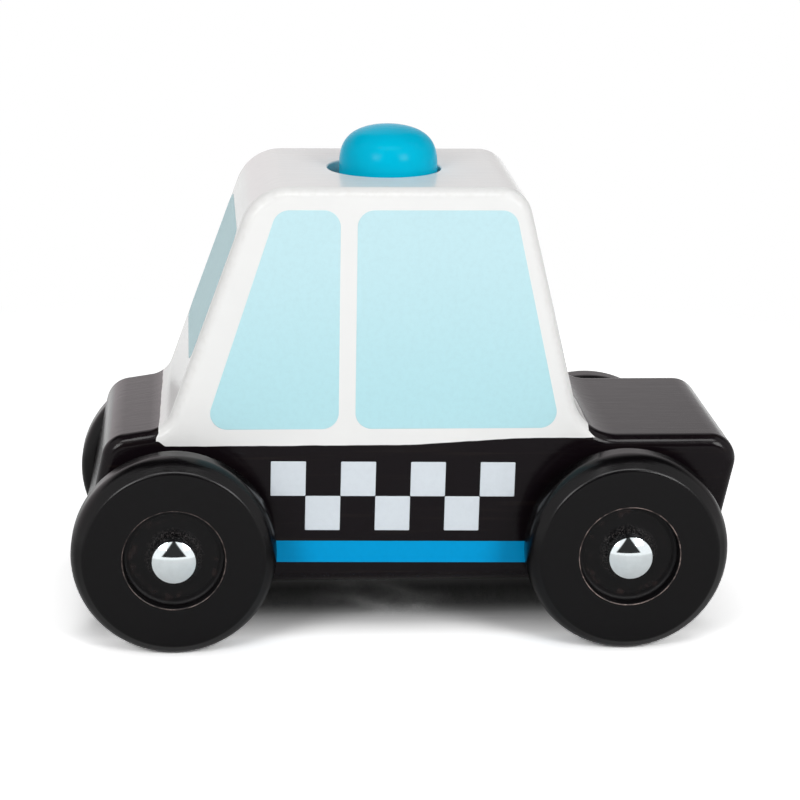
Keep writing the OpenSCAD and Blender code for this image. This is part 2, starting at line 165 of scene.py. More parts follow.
class WheelSizes(bpy.types.PropertyGroup):
    """Turned wheels, axles and caps."""

    radius: size("Radius of the wheels", AXLE_Z)
    back: size("Distance of the wheel's back from the middle plane", WHEEL_BOX[0].y)
    thickness: size("Thickness of the wheels", WHEEL_BOX[1].y - WHEEL_BOX[0].y)
    edge: size("Rounding of the tread's rear edge", 2.5 * MM)
    crown: size("How much smaller the face is than the tread, in radius", 2.3 * MM)
    crown_depth: size("Depth where the crown's slope would meet the tread", 2.3 * MM)
    crown_radius: size("Radius of the crown's curve across the tread", 4.0 * MM)
    face_edge: size("Rounding between the face and the crown", 1.1 * MM)
    recess: size("Radius of the recess in the face", 9.25 * MM)
    recess_depth: size("Depth of the recess", 2.6 * MM)
    rim: size("Rounding of the recess's rim", 0.35 * MM)
    bore: size("Radius of the wheel's bore", 2.08 * MM)
    axle: size("Radius of the axles", half_length(AXLE_BOX))
    axle_end: size("Distance of the axle's end from the middle plane", AXLE_BOX[1].y)
    cap: size("Radius of the axle caps", half_length(CAP_BOX))
    cap_base: size("Distance of the cap's base from the middle plane", CAP_BOX[0].y)
    cap_side: size("Straight side of the caps beyond the wheel's face", 0.9 * MM)
    cap_top: size("Distance of the cap's crown from the middle plane", CAP_BOX[1].y)
    washer: size("Radius of the washers", 5 * MM)
    segments: count("Steps round a turned piece", 160)


class ButtonSizes(bpy.types.PropertyGroup):
    """Siren button, its hole and the squeaker below it."""

    hole_x: size("Place of the roof hole along the car", MID_X - 2.2 * MM)
    hole: size("Radius of the roof hole", 10.7 * MM)
    lip: size("Rounding of the hole's upper edge", 0.35 * MM)
    roof_thickness: size("Wood left round the hole", 7.5 * MM)
    bore: size("Radius of the bore below the roof", 14 * MM)
    radius: size("Radius of the dome", 9.3 * MM)
    flange: size("Radius of the flange", half_length(BUTTON_BOX))
    flange_thickness: size("Thickness of the flange", 3 * MM)
    play: size("Play between the flange and the roof", 0.2 * MM)
    stem: size("Radius of the stem", 5.5 * MM)
    squareness: share("Power of the dome's outline, where 2 is an ellipse", 2.8)
    crown: size("Height of the small point left by turning", 0.3 * MM)
    wire: size("Diameter of the spring's wire", 1 * MM)
    turns: share("Turns of the return spring", 8.5)
    folds: count("Folds of the bellows", 6)
    fold_depth: size("Depth of the bellows' folds", 2 * MM)
    wall: size("Wall of the bellows", 0.9 * MM)
    pipe: size("Radius of the reed's pipe", 2.8 * MM)
    pipe_bore: size("Radius of the pipe's bore", 1.7 * MM)
    plate: size("Thickness of the reed plate", 3 * MM)
    sound_hole: size("Radius of the sound hole", 3.1 * MM)


class PrintSizes(bpy.types.PropertyGroup):
    """Printed windows, checks and stripes."""

    film: size("Thickness of the printed film", 0.08 * MM)
    rim: size("Width of the film's rounded rim", 0.12 * MM)
    window_top: size("Height of the side windows' upper edge", 81.7 * MM)
    window_foot: size("Height of the side windows' lower edge", 40.55 * MM)
    pillar: size("Place of the pillar from the middle of the wheelbase", -10 * MM)
    pillar_width: size("Width of the pillar", 3.1 * MM)
    front_foot: size("Reach of the front window's foot", 29.8 * MM)
    front_lean: angle("Lean of the front window's edge", 12.9)
    back_foot: size("Reach of the back window's foot", -36.4 * MM)
    back_lean: angle("Lean of the back window's edge", 17.9)
    window_radius: size("Corner radius of the windows", 3.1 * MM)
    window_steps: count("Steps of each window corner", 14)
    end_rise: size("Foot of the end windows up the slope", 13 * MM)
    end_height: size("Height of the end windows along the slope", 26 * MM)
    end_margin: size("Margin beside the end windows", 3 * MM)
    check_width: size("Width of one check", 6.52 * MM)
    check_height: size("Height of one check", 6.68 * MM)
    check_columns: count("Columns of checks", 7)
    check_middle: size("Middle of the checks along the car", MID_X - 1.3 * MM)
    check_top: size("Upper edge of the checks", 34.15 * MM)
    corner: size("Corner radius of checks and stripes", 0.18 * MM)
    corner_steps: count("Steps of each check's corner", 4)
    stripe_height: size("Height of the stripe", 4.2 * MM)
    stripe_gap: size("Gap between the checks and the stripe", 2.1 * MM)
    stripe_half: size("Half length of the stripe", 33 * MM)
    tilt: angle("Nose-down tilt of checks and stripe", 0.65)


class Colours(bpy.types.PropertyGroup):
    """Colours of the lacquers, prints and metals."""

    white: colour("White lacquer", "Cab", (0.86, 0.86, 0.85))
    black: colour("Black lacquer", "Chassis", (0.0055, 0.0035, 0.0048))
    wheel_black: colour("Wheel lacquer", "Wheels", (0.0016, 0.0012, 0.0016))
    worn_wood: colour("Worn wood", "Wood that shows at worn rims", (0.38, 0.29, 0.265))
    blue: colour("Blue lacquer", "Siren button", (0.0, 0.485, 0.71))
    window: colour("Window print", "Upper part of the windows", (0.565, 0.805, 0.86))
    window_low: colour("Window print foot", "Lower part of the windows", (0.485, 0.775, 0.835))
    slope_window: colour("Slope window print", "Windows on both slopes", (0.455, 0.68, 0.72))
    check: colour("Check print", "Checks", (0.70, 0.755, 0.805))
    stripe: colour("Stripe print", "Stripes", (0.0, 0.33, 0.69))
    chrome: colour("Chrome", "Axle caps", (0.90, 0.965, 0.985))
    steel: colour("Steel", "Axles and spring", (0.46, 0.47, 0.49))
    nylon: colour("Nylon", "Washers", (0.78, 0.76, 0.68))
    beech: colour("Beech", "Dowels and bare wood", (0.62, 0.43, 0.25))
    rubber: colour("Rubber", "Bellows", (0.50, 0.05, 0.04))
    horn: colour("Reed plastic", "Reed plate", (0.82, 0.80, 0.72))


class StageSettings(bpy.types.PropertyGroup):
    """Camera, floor and studio light."""

    camera_place: FloatVectorProperty(
        name="Camera place",
        description="Place of the camera from the middle of the wheelbase on the floor",
        default=(-39.33 * MM, -492.54 * MM, 175.89 * MM),
        size=3,
        unit="LENGTH",
    )
    yaw: angle("Turn of the camera to the right", 4.75)
    pitch: angle("Downward tilt of the camera", 15.38)
    roll: angle("Roll of the camera", 0.98)
    focal: share("Focal length in picture widths", 2649.3 / 800)
    ambient: share("Level of the even light from all round", 0.33)
    box_power: share("Power of each front softbox in watts", 2.03)
    top_power: share("Power of the light above in watts", 0.92)
    fill_power: share("Power of the light behind the car in watts", 3.3)
    floor_white: share("Brightness of the floor as the camera sees it", 2.1)
    contact: size("Reach of the darker shadow where the car meets the floor", 16 * MM)
    floor_near: size("Reach of the shadowed floor round the car", 150 * MM)
    floor_far: size("Distance at which the floor is plain white", 260 * MM)


class CarSettings(bpy.types.PropertyGroup):
    """All settings of the toy car."""

    body: PointerProperty(type=BodySizes)
    wheels: PointerProperty(type=WheelSizes)
    button: PointerProperty(type=ButtonSizes)
    prints: PointerProperty(type=PrintSizes)
    colours: PointerProperty(type=Colours)
    stage: PointerProperty(type=StageSettings)


def settings():
    """The scene's settings of the toy car."""
    return bpy.context.scene.toy_car


# Shapes as arrays of points

def unit(vector):
    """The vector divided by its length."""
    vector = np.asarray(vector, float)
    return vector / np.linalg.norm(vector)


def corner_arc(before, corner, after, radius, steps):
    """Arc that touches both sides of a corner. Its centre lies on the bisector, at the radius over the
    sine of the half angle from the corner. Gives points and outward normals."""
    back, on = unit(before - corner), unit(after - corner)
    half = math.acos(float(np.clip(back @ on, -1, 1))) / 2
    centre = corner + unit(back + on) * radius / math.sin(half)
    into, out = corner - before, after - corner
    turn = np.sign(into[0] * out[1] - into[1] * out[0])
    first, last = (corner + way * radius / math.tan(half) - centre for way in (back, on))
    start = math.atan2(first[1], first[0])
    sweep = (math.atan2(last[1], last[0]) - start + math.pi) % (2 * math.pi) - math.pi
    along = start + sweep * np.linspace(0, 1, steps + 1)
    ray = np.stack([np.cos(along), np.sin(along)], axis=1)
    return centre + radius * ray, turn * ray


def rounded_outline(corners, steps):
    """Counterclockwise outline through corners (u, v, radius), each replaced by its touching arc."""
    corners = np.asarray(corners, float)
    at = corners[:, :2]
    arcs = [
        corner_arc(a, p, b, r, steps)
        for a, p, b, r in zip(np.roll(at, 1, axis=0), at, np.roll(at, -1, axis=0), corners[:, 2])
    ]
    return np.concatenate([a[0] for a in arcs]), np.concatenate([a[1] for a in arcs])


def rounded_path(points, radii, steps):
    """Open outline through the points, with each inner point replaced by its touching arc."""
    at = np.asarray(points, float)
    arcs = [corner_arc(a, p, b, r, steps)[0] for a, p, b, r in zip(at, at[1:], at[2:], radii)]
    return np.concatenate([at[:1], *arcs, at[-1:]])


def ring_faces(rings, points):
    """Quads between each closed ring of points and the next."""
    row = np.arange(rings - 1)[:, None] * points
    here = np.arange(points)[None, :]
    after = (here + 1) % points
    quads = np.stack([row + here, row + after, row + points + after, row + points + here], axis=-1)
    return quads.reshape(-1, 4).tolist()


def fan_faces(first, points, middle):
    """Triangles from one closed ring, whose first point is given, to a middle point."""
    here = np.arange(points)
    fan = np.stack([first + here, first + (here + 1) % points, np.full(points, middle)], axis=1)
    return fan.tolist()


def capped_rings(rings):
    """Closed surface through rings of points, an array of ring by point by xyz, with each end closed
    by a fan to the middle of its ring's box."""
    rows, points = rings.shape[:2]
    middles = np.stack([(ring.min(axis=0) + ring.max(axis=0)) / 2 for ring in (rings[0], rings[-1])])
    vertices = np.concatenate([rings.reshape(-1, 3), middles])
    last = (rows - 1) * points
    faces = ring_faces(rows, points)
    faces += fan_faces(0, points, rows * points) + fan_faces(last, points, rows * points + 1)
    return vertices, faces


def slab(outline, normals, middle, width, radius, steps):
    """Slab across the car. The side outline is carried from one side to the other, drawn in by
    radius times (1 - sine) where the slab's half width loses radius times (1 - cosine). One more
    ring on each flat side keeps the rounding's shading off the flat."""
    turn = np.linspace(0, math.pi / 2, steps + 1)
    flat_ring = 1.25 * radius
    inset = np.concatenate([[flat_ring], radius * (1 - np.sin(turn))])
    reach = np.concatenate([[width / 2], width / 2 - radius * (1 - np.cos(turn))])
    inset, reach = np.concatenate([inset, inset[::-1]]), np.concatenate([reach, -reach[::-1]])
    plan = outline[None] - inset[:, None, None] * normals[None]
    across = np.broadcast_to(reach[:, None], plan.shape[:2])
    rings = np.stack([plan[..., 0], across, plan[..., 1]], axis=-1)
    vertices, faces = capped_rings(rings)
    vertices[-2:] = [[middle[0], side * width / 2, middle[1]] for side in (1, -1)]
    return vertices, faces


def turned(profile, centre, axis, segments, closed=False):
    """Surface of revolution: profile points (radius, height) are carried round the axis through the
    centre. A closed profile joins its last point to its first."""
    profile = np.asarray(profile, float)
    if closed:
        profile = np.concatenate([profile, profile[:1]])
    axis = unit(axis)
    off_axis = (0.3, 0.5, 0.8)
    across = unit(np.cross(axis, off_axis))
    turn = 2 * math.pi * np.arange(segments) / segments
    ring = np.cos(turn)[:, None] * across + np.sin(turn)[:, None] * np.cross(axis, across)
    rings = profile[:, 0, None, None] * ring[None] + profile[:, 1, None, None] * axis + centre
    return rings.reshape(-1, 3), ring_faces(len(profile), segments)


def turned_on_axle(profile, x, side, segments, closed=False):
    """Surface turned about the axle at x, with heights measured outward on one side of the car."""
    return turned(profile, (x, 0, AXLE_Z), (0, side, 0), segments, closed)


def turned_upright(profile, x, segments, closed=False):
    """Surface turned about the upright axis at x on the middle plane."""
    return turned(profile, (x, 0, 0), (0, 0, 1), segments, closed)


def plain_bar(radius, low, high):
    """Profile of a plain round bar between two heights."""
    return [(0, low), (radius, low), (radius, high), (0, high)]


def quarter(centre, radius, start, steps=5):
    """Quarter circle of (radius, height) points, counterclockwise from the start angle in degrees."""
    along = np.radians(start + np.linspace(0, 90, steps + 1))
    return np.asarray(centre) + radius * np.stack([np.cos(along), np.sin(along)], axis=1)


def box_surface(low, high):
    """The eight corners and six faces of a box."""
    pick = np.array([[x, y, z] for x in (0, 1) for y in (0, 1) for z in (0, 1)])
    corners = np.where(pick, np.asarray(high, float), np.asarray(low, float))
    faces = [[0, 1, 3, 2], [4, 6, 7, 5], [0, 4, 5, 1], [2, 3, 7, 6], [0, 2, 6, 4], [1, 5, 7, 3]]
    return corners, faces


def film_surface(outline, normals, thickness, rim, where):
    """Thin printed film: the outline climbs a quarter round to its thickness, then lies flat. Where
    is the film's origin and its three directions, along u, along v and outward."""
    rim_points, flat_ring = 6, 1.6 * rim
    turn = np.linspace(0, math.pi / 2, rim_points)
    inset = np.concatenate([rim * (1 - np.cos(turn)), [flat_ring]])
    lift = np.concatenate([thickness * np.sin(turn), [thickness]])
    flat = outline[None] - inset[:, None, None] * normals[None]
    origin, along_u, along_v, outward = (np.asarray(p, float) for p in where)
    rings = origin + flat[..., 0, None] * along_u + flat[..., 1, None] * along_v
    return capped_rings(rings + lift[:, None, None] * outward)


def joined(surfaces):
    """Several surfaces as one list of vertices and faces."""
    starts = np.cumsum([0] + [len(s[0]) for s in surfaces])
    faces = [[i + start for i in face] for start, s in zip(starts, surfaces) for face in s[1]]
    return np.concatenate([s[0] for s in surfaces]), faces


# Blender objects

def add_object(name, data):
    """New object of the scene that shows a mesh, lamp or camera."""
    made = bpy.data.objects.new(name, data)
    bpy.context.scene.collection.objects.link(made)
    return made


def solid(name, surface, sharp=35):
    """Mesh object of a closed surface, with doubles merged, faces outward and smooth shading up to a
    sharp angle in degrees."""
    vertices, faces = surface
    mesh = bpy.data.meshes.new(name)
    mesh.from_pydata(np.asarray(vertices).tolist(), [], faces)
    work = bmesh.new()
    work.from_mesh(mesh)
    bmesh.ops.remove_doubles(work, verts=work.verts, dist=MERGE)
    bmesh.ops.recalc_face_normals(work, faces=work.faces)
    work.to_mesh(mesh)
    work.free()
    piece = add_object(name, mesh)
    shade(piece, sharp)
    return piece


def shade(piece, sharp):
    """Smooth shading with sharp edges above an angle in degrees."""
    mesh = piece.data
    mesh.polygons.foreach_set("use_smooth", np.ones(len(mesh.polygons), bool))
    mesh.set_sharp_from_angle(angle=math.radians(sharp))


def carve(piece, surface, operation="DIFFERENCE"):
    """Cuts a piece with a closed surface, or keeps what lies inside it."""
    tool = solid("cutter", surface)
    modifier = piece.modifiers.new("carve", "BOOLEAN")
    modifier.operation, modifier.solver, modifier.object = operation, "EXACT", tool
    graph = bpy.context.evaluated_depsgraph_get()
    mesh = bpy.data.meshes.new_from_object(piece.evaluated_get(graph))
    piece.modifiers.clear()
    old, piece.data = piece.data, mesh
    mesh.name = piece.name
    tool_mesh = tool.data
    bpy.data.objects.remove(tool)
    bpy.data.meshes.remove(tool_mesh)
    bpy.data.meshes.remove(old)
    if not len(mesh.polygons):
        raise RuntimeError(f"{piece.name}: nothing is left after a cut")


def even_shading(piece, sharp=35):
    """Normals that follow the larger faces, so that flat faces stay flat beside rounded edges."""
    shade(piece, sharp)
    modifier = piece.modifiers.new("even shading", "WEIGHTED_NORMAL")
    modifier.mode, modifier.weight, modifier.keep_sharp = "FACE_AREA", 100, True


def store_radius(piece, centre, axis):
    """Keeps each point's distance from the turning axis as the attribute turn_radius."""
    mesh = piece.data
    places = np.empty(len(mesh.vertices) * 3, np.float32)
    mesh.vertices.foreach_get("co", places)
    from_centre = places.reshape(-1, 3) - np.asarray(centre)
    axis = unit(axis)
    radial = from_centre - np.outer(from_centre @ axis, axis)
    layer = mesh.attributes.new("turn_radius", "FLOAT", "POINT")
    layer.data.foreach_set("value", np.linalg.norm(radial, axis=1).astype(np.float32))


def place(piece, body, slot, finish, *nodes):
    """Gives a piece its finish and its body, and hides the nodes that it stands for. The slot is not used."""
    piece.data.materials.clear()
    piece.data.materials.append(finish)
    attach(piece, body)
    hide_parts(*nodes)


# Finishes

class Value:
    """Number worked out by a node, which can be added to, taken from and multiplied."""

    def __init__(self, finish, socket):
        self.finish, self.socket = finish, socket

    def __add__(self, other):
        return self.finish.math("ADD", self, other)

    def __sub__(self, other):
        return self.finish.math("SUBTRACT", self, other)

    def __mul__(self, other):
        return self.finish.math("MULTIPLY", self, other)

    def __abs__(self):
        return self.finish.math("ABSOLUTE", self)


class Finish:
    """Node tree of one material or world, with short calls for the nodes that the finishes share."""

    def __init__(self, owner):
        self.owner = owner
        owner.use_nodes = True
        self.tree = owner.node_tree
        self.tree.nodes.clear()

    def node(self, kind, inputs, **options):
        """One node; an input is a plain value, a node's number or another node's socket."""
        made = self.tree.nodes.new("ShaderNode" + kind)
        for name, value in options.items():
            setattr(made, name, value)
        for key, value in inputs.items():
            value = getattr(value, "socket", value)
            if isinstance(value, bpy.types.NodeSocket):
                self.tree.links.new(value, made.inputs[key])
            else:
                made.inputs[key].default_value = value
        return made

    def number(self, kind, inputs, output=0, **options):
        """Number that a node works out."""
        return Value(self, self.node(kind, inputs, **options).outputs[output])

    def coordinates(self, kind="Object"):
        """Object coordinates, or another kind that Blender gives."""
        return self.node("TexCoord", {}).outputs[kind]

    def axes(self, kind="Object"):
        """The x, y and z of the coordinates."""
        parted = self.node("SeparateXYZ", {"Vector": self.coordinates(kind)})
        return [Value(self, socket) for socket in parted.outputs]

    def math(self, operation, a, b=0.0):
        """One sum on numbers."""
        return self.number("Math", {0: a, 1: b}, operation=operation)

    def larger(self, a, b):
        """The larger of two numbers."""
        return self.math("MAXIMUM", a, b)

    def noise(self, scale, detail=3.0, rough=0.5, stretch=(1, 1, 1), at=None):
        """Noise from 0 to 1, on stretched object coordinates or at a given vector."""
        if at is None:
            inputs = {"Vector": self.coordinates(), "Scale": stretch}
            at = self.node("Mapping", inputs).outputs["Vector"]
        inputs = {"Vector": at, "Scale": scale, "Detail": detail, "Roughness": rough}
        return self.number("TexNoise", inputs)

    def ramp(self, value, low, high, at_low=0.0, at_high=1.0, kind="LINEAR"):
        """Straight ramp from one number to another between low and high."""
        inputs = {"Value": value, 1: low, 2: high, 3: at_low, 4: at_high}
        return self.number("MapRange", inputs, interpolation_type=kind)

    def step(self, value, low, high, at_low=0.0, at_high=1.0):
        """Smooth step from one number to another between low and high."""
        return self.ramp(value, low, high, at_low, at_high, "SMOOTHSTEP")

    def fall(self, value, low, high, top=1.0):
        """Smooth step from the top down to 0 between low and high."""
        return self.step(value, low, high, top, 0.0)

    def length(self, vector):
        """Length of a vector."""
        return self.number("VectorMath", {0: vector}, "Value", operation="LENGTH")

    def choose(self, factor, a, b):
        """Number a at factor 0 and number b at factor 1."""
        return self.number("Mix", {0: factor, 2: a, 3: b}, data_type="FLOAT")

    def blend(self, factor, a, b):
        """Colour a at factor 0 and colour b at factor 1."""
        a, b = (c if isinstance(c, bpy.types.NodeSocket) else (*c, 1) for c in (a, b))
        return self.node("Mix", {0: factor, 6: a, 7: b}, data_type="RGBA").outputs[2]

    def bump(self, height, depth, under=None):
        """Normal of a relief of the given depth in metres."""
        inputs = {"Height": height, "Distance": depth, "Strength": 1.0}
        if under is not None:
            inputs["Normal"] = under
        return self.node("Bump", inputs).outputs[0]

    def surface(self, **inputs):
        """The finished surface; inputs are named as the shader's sockets, with _ for a space."""
        shader = self.node("BsdfPrincipled", {key.replace("_", " "): v for key, v in inputs.items()})
        self.node("OutputMaterial", {"Surface": shader.outputs[0]})
        return self.owner


def new_finish(name):
    """Empty finish of a new material."""
    return Finish(bpy.data.materials.new(name))


def body_lacquer():
    """White cab over black chassis, with the hand-masked lines between them, wood grain that shows through
    the lacquer, slightly rubbed edges that also carry a painted highlight on the black and painted shade on
    the white, and bare wood in the bore. Made once for both halves."""
    if "body_lacquer" in bpy.data.materials:
        return bpy.data.materials["body_lacquer"]
    body, button, colours = settings().body, settings().button, settings().colours
    f = new_finish("body_lacquer")
    x, y, z = f.axes()
    raggedness, line_soft, end_soft = 0.9 * MM, 0.05 * MM, 0.06 * MM
    ragged = (f.noise(140.0, 2.0) - 0.5) * raggedness

    # Line along the sides, which climbs towards the front and at the cab's rear corner
    rear_height, front_height, corner_lift = 37.4 * MM, 38.6 * MM, 1.0 * MM
    line = f.step(x, MID_X - 2 * MM, MID_X + 25 * MM, rear_height, front_height)
    lift = f.fall(x, body.seat_rear - 0.8 * MM, body.seat_rear + 0.9 * MM, corner_lift)
    below = f.step(line + lift + ragged * 0.4 - z, -line_soft, line_soft)

    # Lines across the car, at the bonnet and at the boot, which bend near the sides
    out, half = abs(y), body.width / 2
    bend = half - 0.6 * MM
    front_middle, front_side = MID_X + 35.3 * MM, MID_X + 36.9 * MM
    rear_middle, rear_slant, rear_bend = body.seat_rear - 0.2 * MM, 0.0136, 0.45 * MM
    front = f.step(out, bend, half - 0.15 * MM, front_middle, front_side)
    ahead = f.step(x - (front + ragged), -end_soft, end_soft)
    rear = y * rear_slant + rear_middle - f.step(out, bend, half - 0.1 * MM, 0.0, rear_bend)
    behind = f.step(rear + ragged * 0.5 - x, -end_soft, end_soft)
    black = f.larger(f.larger(below, ahead), behind)

    # Lacquer tones, with a painted highlight on the black edges and painted shade on the white ones
    grain = f.noise(2.0, 4.0, 0.6, stretch=(18, 420, 420))
    pores = f.noise(2.0, 3.0, 0.6, stretch=(60, 1500, 1500))
    cloud = f.noise(60.0)
    # Edge band, scuffed by noise: partly wear, partly a painted highlight that lightens the black and painted
    # shade that darkens the white
    edge = f.step(out, half - body.edge, half - 0.45 * MM) * f.fall(out, half - 0.3 * MM, half)
    rubbed = edge * f.step(f.noise(900.0), 0.35, 0.75)
    brown_black, edge_highlight_black = (0.017, 0.012, 0.010), (0.045, 0.040, 0.038)
    cloudy_white, edge_shade_white = (0.83, 0.835, 0.83), (0.72, 0.71, 0.68)
    warm_black = f.blend(f.step(grain, 0.52, 0.78) * 0.5, colours.black, brown_black)
    black_tone = f.blend(rubbed * 0.08, warm_black, edge_highlight_black)
    white_tone = f.blend(f.step(cloud, 0.3, 0.8), colours.white, cloudy_white)
    white_tone = f.blend(rubbed * 0.25, white_tone, edge_shade_white)
    painted = f.blend(black, white_tone, black_tone)

    # Bare wood inside the bore, from above the sound hole's edge to below the roof hole
    from_axis = f.node("CombineXYZ", {"X": x - PUSH_X, "Y": y}).outputs[0]
    wall, top, foot = button.bore + 0.9 * MM, 79 * MM, body.underside + 1 * MM
    inside = f.fall(f.length(from_axis), wall, wall + 0.1 * MM) * f.fall(z, top, top + 4 * MM)
    inside = inside * f.step(z, foot, foot + 2 * MM)
    dark_grain = (0.48, 0.31, 0.17)
    base = f.blend(inside, painted, f.blend(grain, colours.beech, dark_grain))

    gloss = cloud * 0.08 + 0.09 + rubbed * 0.05
    relief = f.bump(pores, 0.012 * MM, f.bump(grain, 0.03 * MM))
    relief = f.bump(f.noise(260.0, 2.0), 0.02 * MM, relief)
    return f.surface(Base_Color=base, Roughness=gloss, Normal=relief, Specular_IOR_Level=0.15)


def wheel_lacquer():
    """Black lacquer on turned wood: fine turning rings, a worn ring at the recess's rim, a scuffed
    recess with a duller wall, and speckled wear beside the cap."""
    s = settings()
    f = new_finish("wheel_lacquer")
    radius = f.number("Attribute", {}, "Fac", attribute_name="turn_radius")
    rim, wall = s.wheels.recess + 0.2 * MM, s.wheels.recess - 0.5 * MM
    wear_in, wear_out = 4.3 * MM, 5.9 * MM
    scuff_in, scuff_mid, scuff_out = 6.4 * MM, 8.0 * MM, 8.9 * MM
    scuff_tone, speckle_tone = (0.09, 0.055, 0.05), (0.115, 0.10, 0.098)
    wide, fine, speckle = f.noise(420.0), f.noise(2200.0, 2.0), f.noise(5200.0, 2.0)

    along = f.step(f.axes()[0], REAR_X, FRONT_X, 0.5, 1.0)
    worn = f.fall(abs(radius - rim), 0.03 * MM, 0.12 * MM) * along
    worn = worn * f.step(wide, 0.36, 0.6, 0.15, 0.85) * f.step(fine, 0.3, 0.65, 0.35, 1.0)
    rubbed = f.fall(radius, wear_in, wear_out) * f.step(speckle, 0.5, 0.72, 0.0, 0.5)
    scuffed = f.step(radius, scuff_in, scuff_mid) * f.fall(radius, scuff_mid, scuff_out)
    scuffed = scuffed * f.step(wide, 0.5, 0.72)
    tone = f.blend(scuffed * 0.22, s.colours.wheel_black, scuff_tone)
    tone = f.blend(rubbed, tone, speckle_tone)
    base = f.blend(worn, tone, s.colours.worn_wood)

    rings = f.node("CombineXYZ", {"X": radius}).outputs[0]
    relief = f.bump(f.noise(2600.0, 2.0, at=rings), 0.008 * MM)
    relief = f.bump(wide, 0.03 * MM, relief)
    dull_wall = f.fall(abs(radius - wall), 0.3 * MM, 0.8 * MM, 0.3)
    gloss = wide * 0.14 + 0.17 + worn * 0.35 + dull_wall
    return f.surface(Base_Color=base, Roughness=gloss, Normal=relief, Specular_IOR_Level=0.22)


def button_lacquer():
    """Thick blue lacquer with a soft orange peel."""
    f = new_finish("button_lacquer")
    cloud = f.noise(130.0)
    deep_blue = (0.0, 0.445, 0.66)
    base = f.blend(f.step(cloud, 0.3, 0.8), settings().colours.blue, deep_blue)
    relief = f.bump(f.noise(500.0, 2.0), 0.015 * MM)
    gloss = cloud * 0.10 + 0.12
    return f.surface(Base_Color=base, Roughness=gloss, Normal=relief, Specular_IOR_Level=0.042)


def print_ink(name, upper, lower, top, foot, shine=0.3):
    """Printed ink under clear lacquer, with a soft fade from top to foot and faint mottling."""
    f = new_finish(name)
    mottle = f.noise(900.0, 4.0, 0.65)
    tone = f.blend(f.step(f.axes()[2], foot, top), lower, upper)
    dull = f.node("HueSaturation", {"Value": 0.965, "Color": tone}).outputs[0]
    base = f.blend(f.step(mottle, 0.35, 0.75), tone, dull)
    relief = f.bump(mottle, 0.0008 * MM)
    gloss = mottle * 0.12 + 0.3
    return f.surface(Base_Color=base, Roughness=gloss, Normal=relief, Specular_IOR_Level=shine)


def metal(name, tone, rough, brushed):
    """Bare or plated metal with fine smudges and, on drawn wire or rod, lengthwise lines."""
    f = new_finish(name)
    smudge, lines = f.noise(700.0), f.noise(6.0, stretch=(400, 12, 400))
    base = f.blend(f.step(smudge, 0.3, 0.8), tone, [0.93 * c for c in tone])
    relief = f.bump(lines, 0.01 * MM * brushed)
    gloss = smudge * 0.05 + rough + lines * brushed
    return f.surface(Base_Color=base, Roughness=gloss, Normal=relief, Metallic=1.0)


def moulded(name, tone, rough, depth):
    """Moulded plastic or rubber with a fine even texture."""
    f = new_finish(name)
    cloud, skin = f.noise(300.0), f.noise(4000.0, 2.0)
    base = f.blend(f.step(cloud, 0.3, 0.8), tone, [0.86 * c for c in tone])
    return f.surface(Base_Color=base, Roughness=cloud * 0.15 + rough, Normal=f.bump(skin, depth))


def bare_beech():
    """Bare beech with its grain upright along the dowels."""
    f = new_finish("bare_beech")
    grain = f.noise(2.0, 5.0, 0.6, stretch=(500, 500, 25))
    flecks = f.noise(2.0, 2.0, stretch=(1800, 1800, 200))
    dark_grain, fleck_tone = (0.47, 0.30, 0.16), (0.36, 0.21, 0.10)
    tone = f.blend(f.step(grain, 0.3, 0.75), settings().colours.beech, dark_grain)
    base = f.blend(f.step(flecks, 0.6, 0.75) * 0.5, tone, fleck_tone)
    return f.surface(Base_Color=base, Roughness=0.6, Normal=f.bump(grain, 0.05 * MM))


# Operators, one for each piece or group of pieces, and what they share

def boot_foot(body):
    """Height of the rear window's foot, where the boot's rise meets it."""
    return body.deck + (body.tail - body.rear_foot) * math.tan(body.boot_slope)


def body_blank(name, body):
    """The wooden slab that the chassis and the cab are cut from: the body's side outline carried
    across the car."""
    lean = (body.deck - body.underside) * math.tan(body.end_lean)
    foot = boot_foot(body)
    front_rise = (body.roof - body.deck) * math.tan(body.windscreen_lean)
    rear_rise = (body.roof - foot) * math.tan(body.rear_lean)
    corners = np.array([
        [-body.tail - lean, body.underside, body.under_radius],
        [body.nose - lean, body.underside, body.under_radius],
        [body.nose, body.deck, body.end_radius],
        [body.windscreen_foot, body.deck, body.bonnet_hollow],
        [body.windscreen_foot - front_rise, body.roof, body.roof_front_radius],
        [-body.rear_foot + rear_rise, body.roof, body.roof_rear_radius],
        [-body.rear_foot, foot, body.boot_hollow],
        [-body.tail, body.deck, body.end_radius],
    ])
    corners[:, 0] += MID_X
    middle = (MID_X, (body.underside + body.deck) / 2)
    outline = rounded_outline(corners, body.arc_steps)
    return solid(name, slab(*outline, middle, body.width, body.edge, body.edge_steps))


def cab_space(body):
    """Box of the cab above its seat."""
    reach = body.width / 2 + OVERRUN
    low = (body.seat_rear, -reach, body.seat)
    return box_surface(low, (body.seat_front, reach, body.roof + OVERRUN))


def dowel_places():
    """Places of both dowels along the car and the heights of their ends, from their node's box."""
    low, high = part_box("cab_dowels")
    radius = (high.y - low.y) / 2
    return (low.x + radius, high.x - radius), low.z, high.z


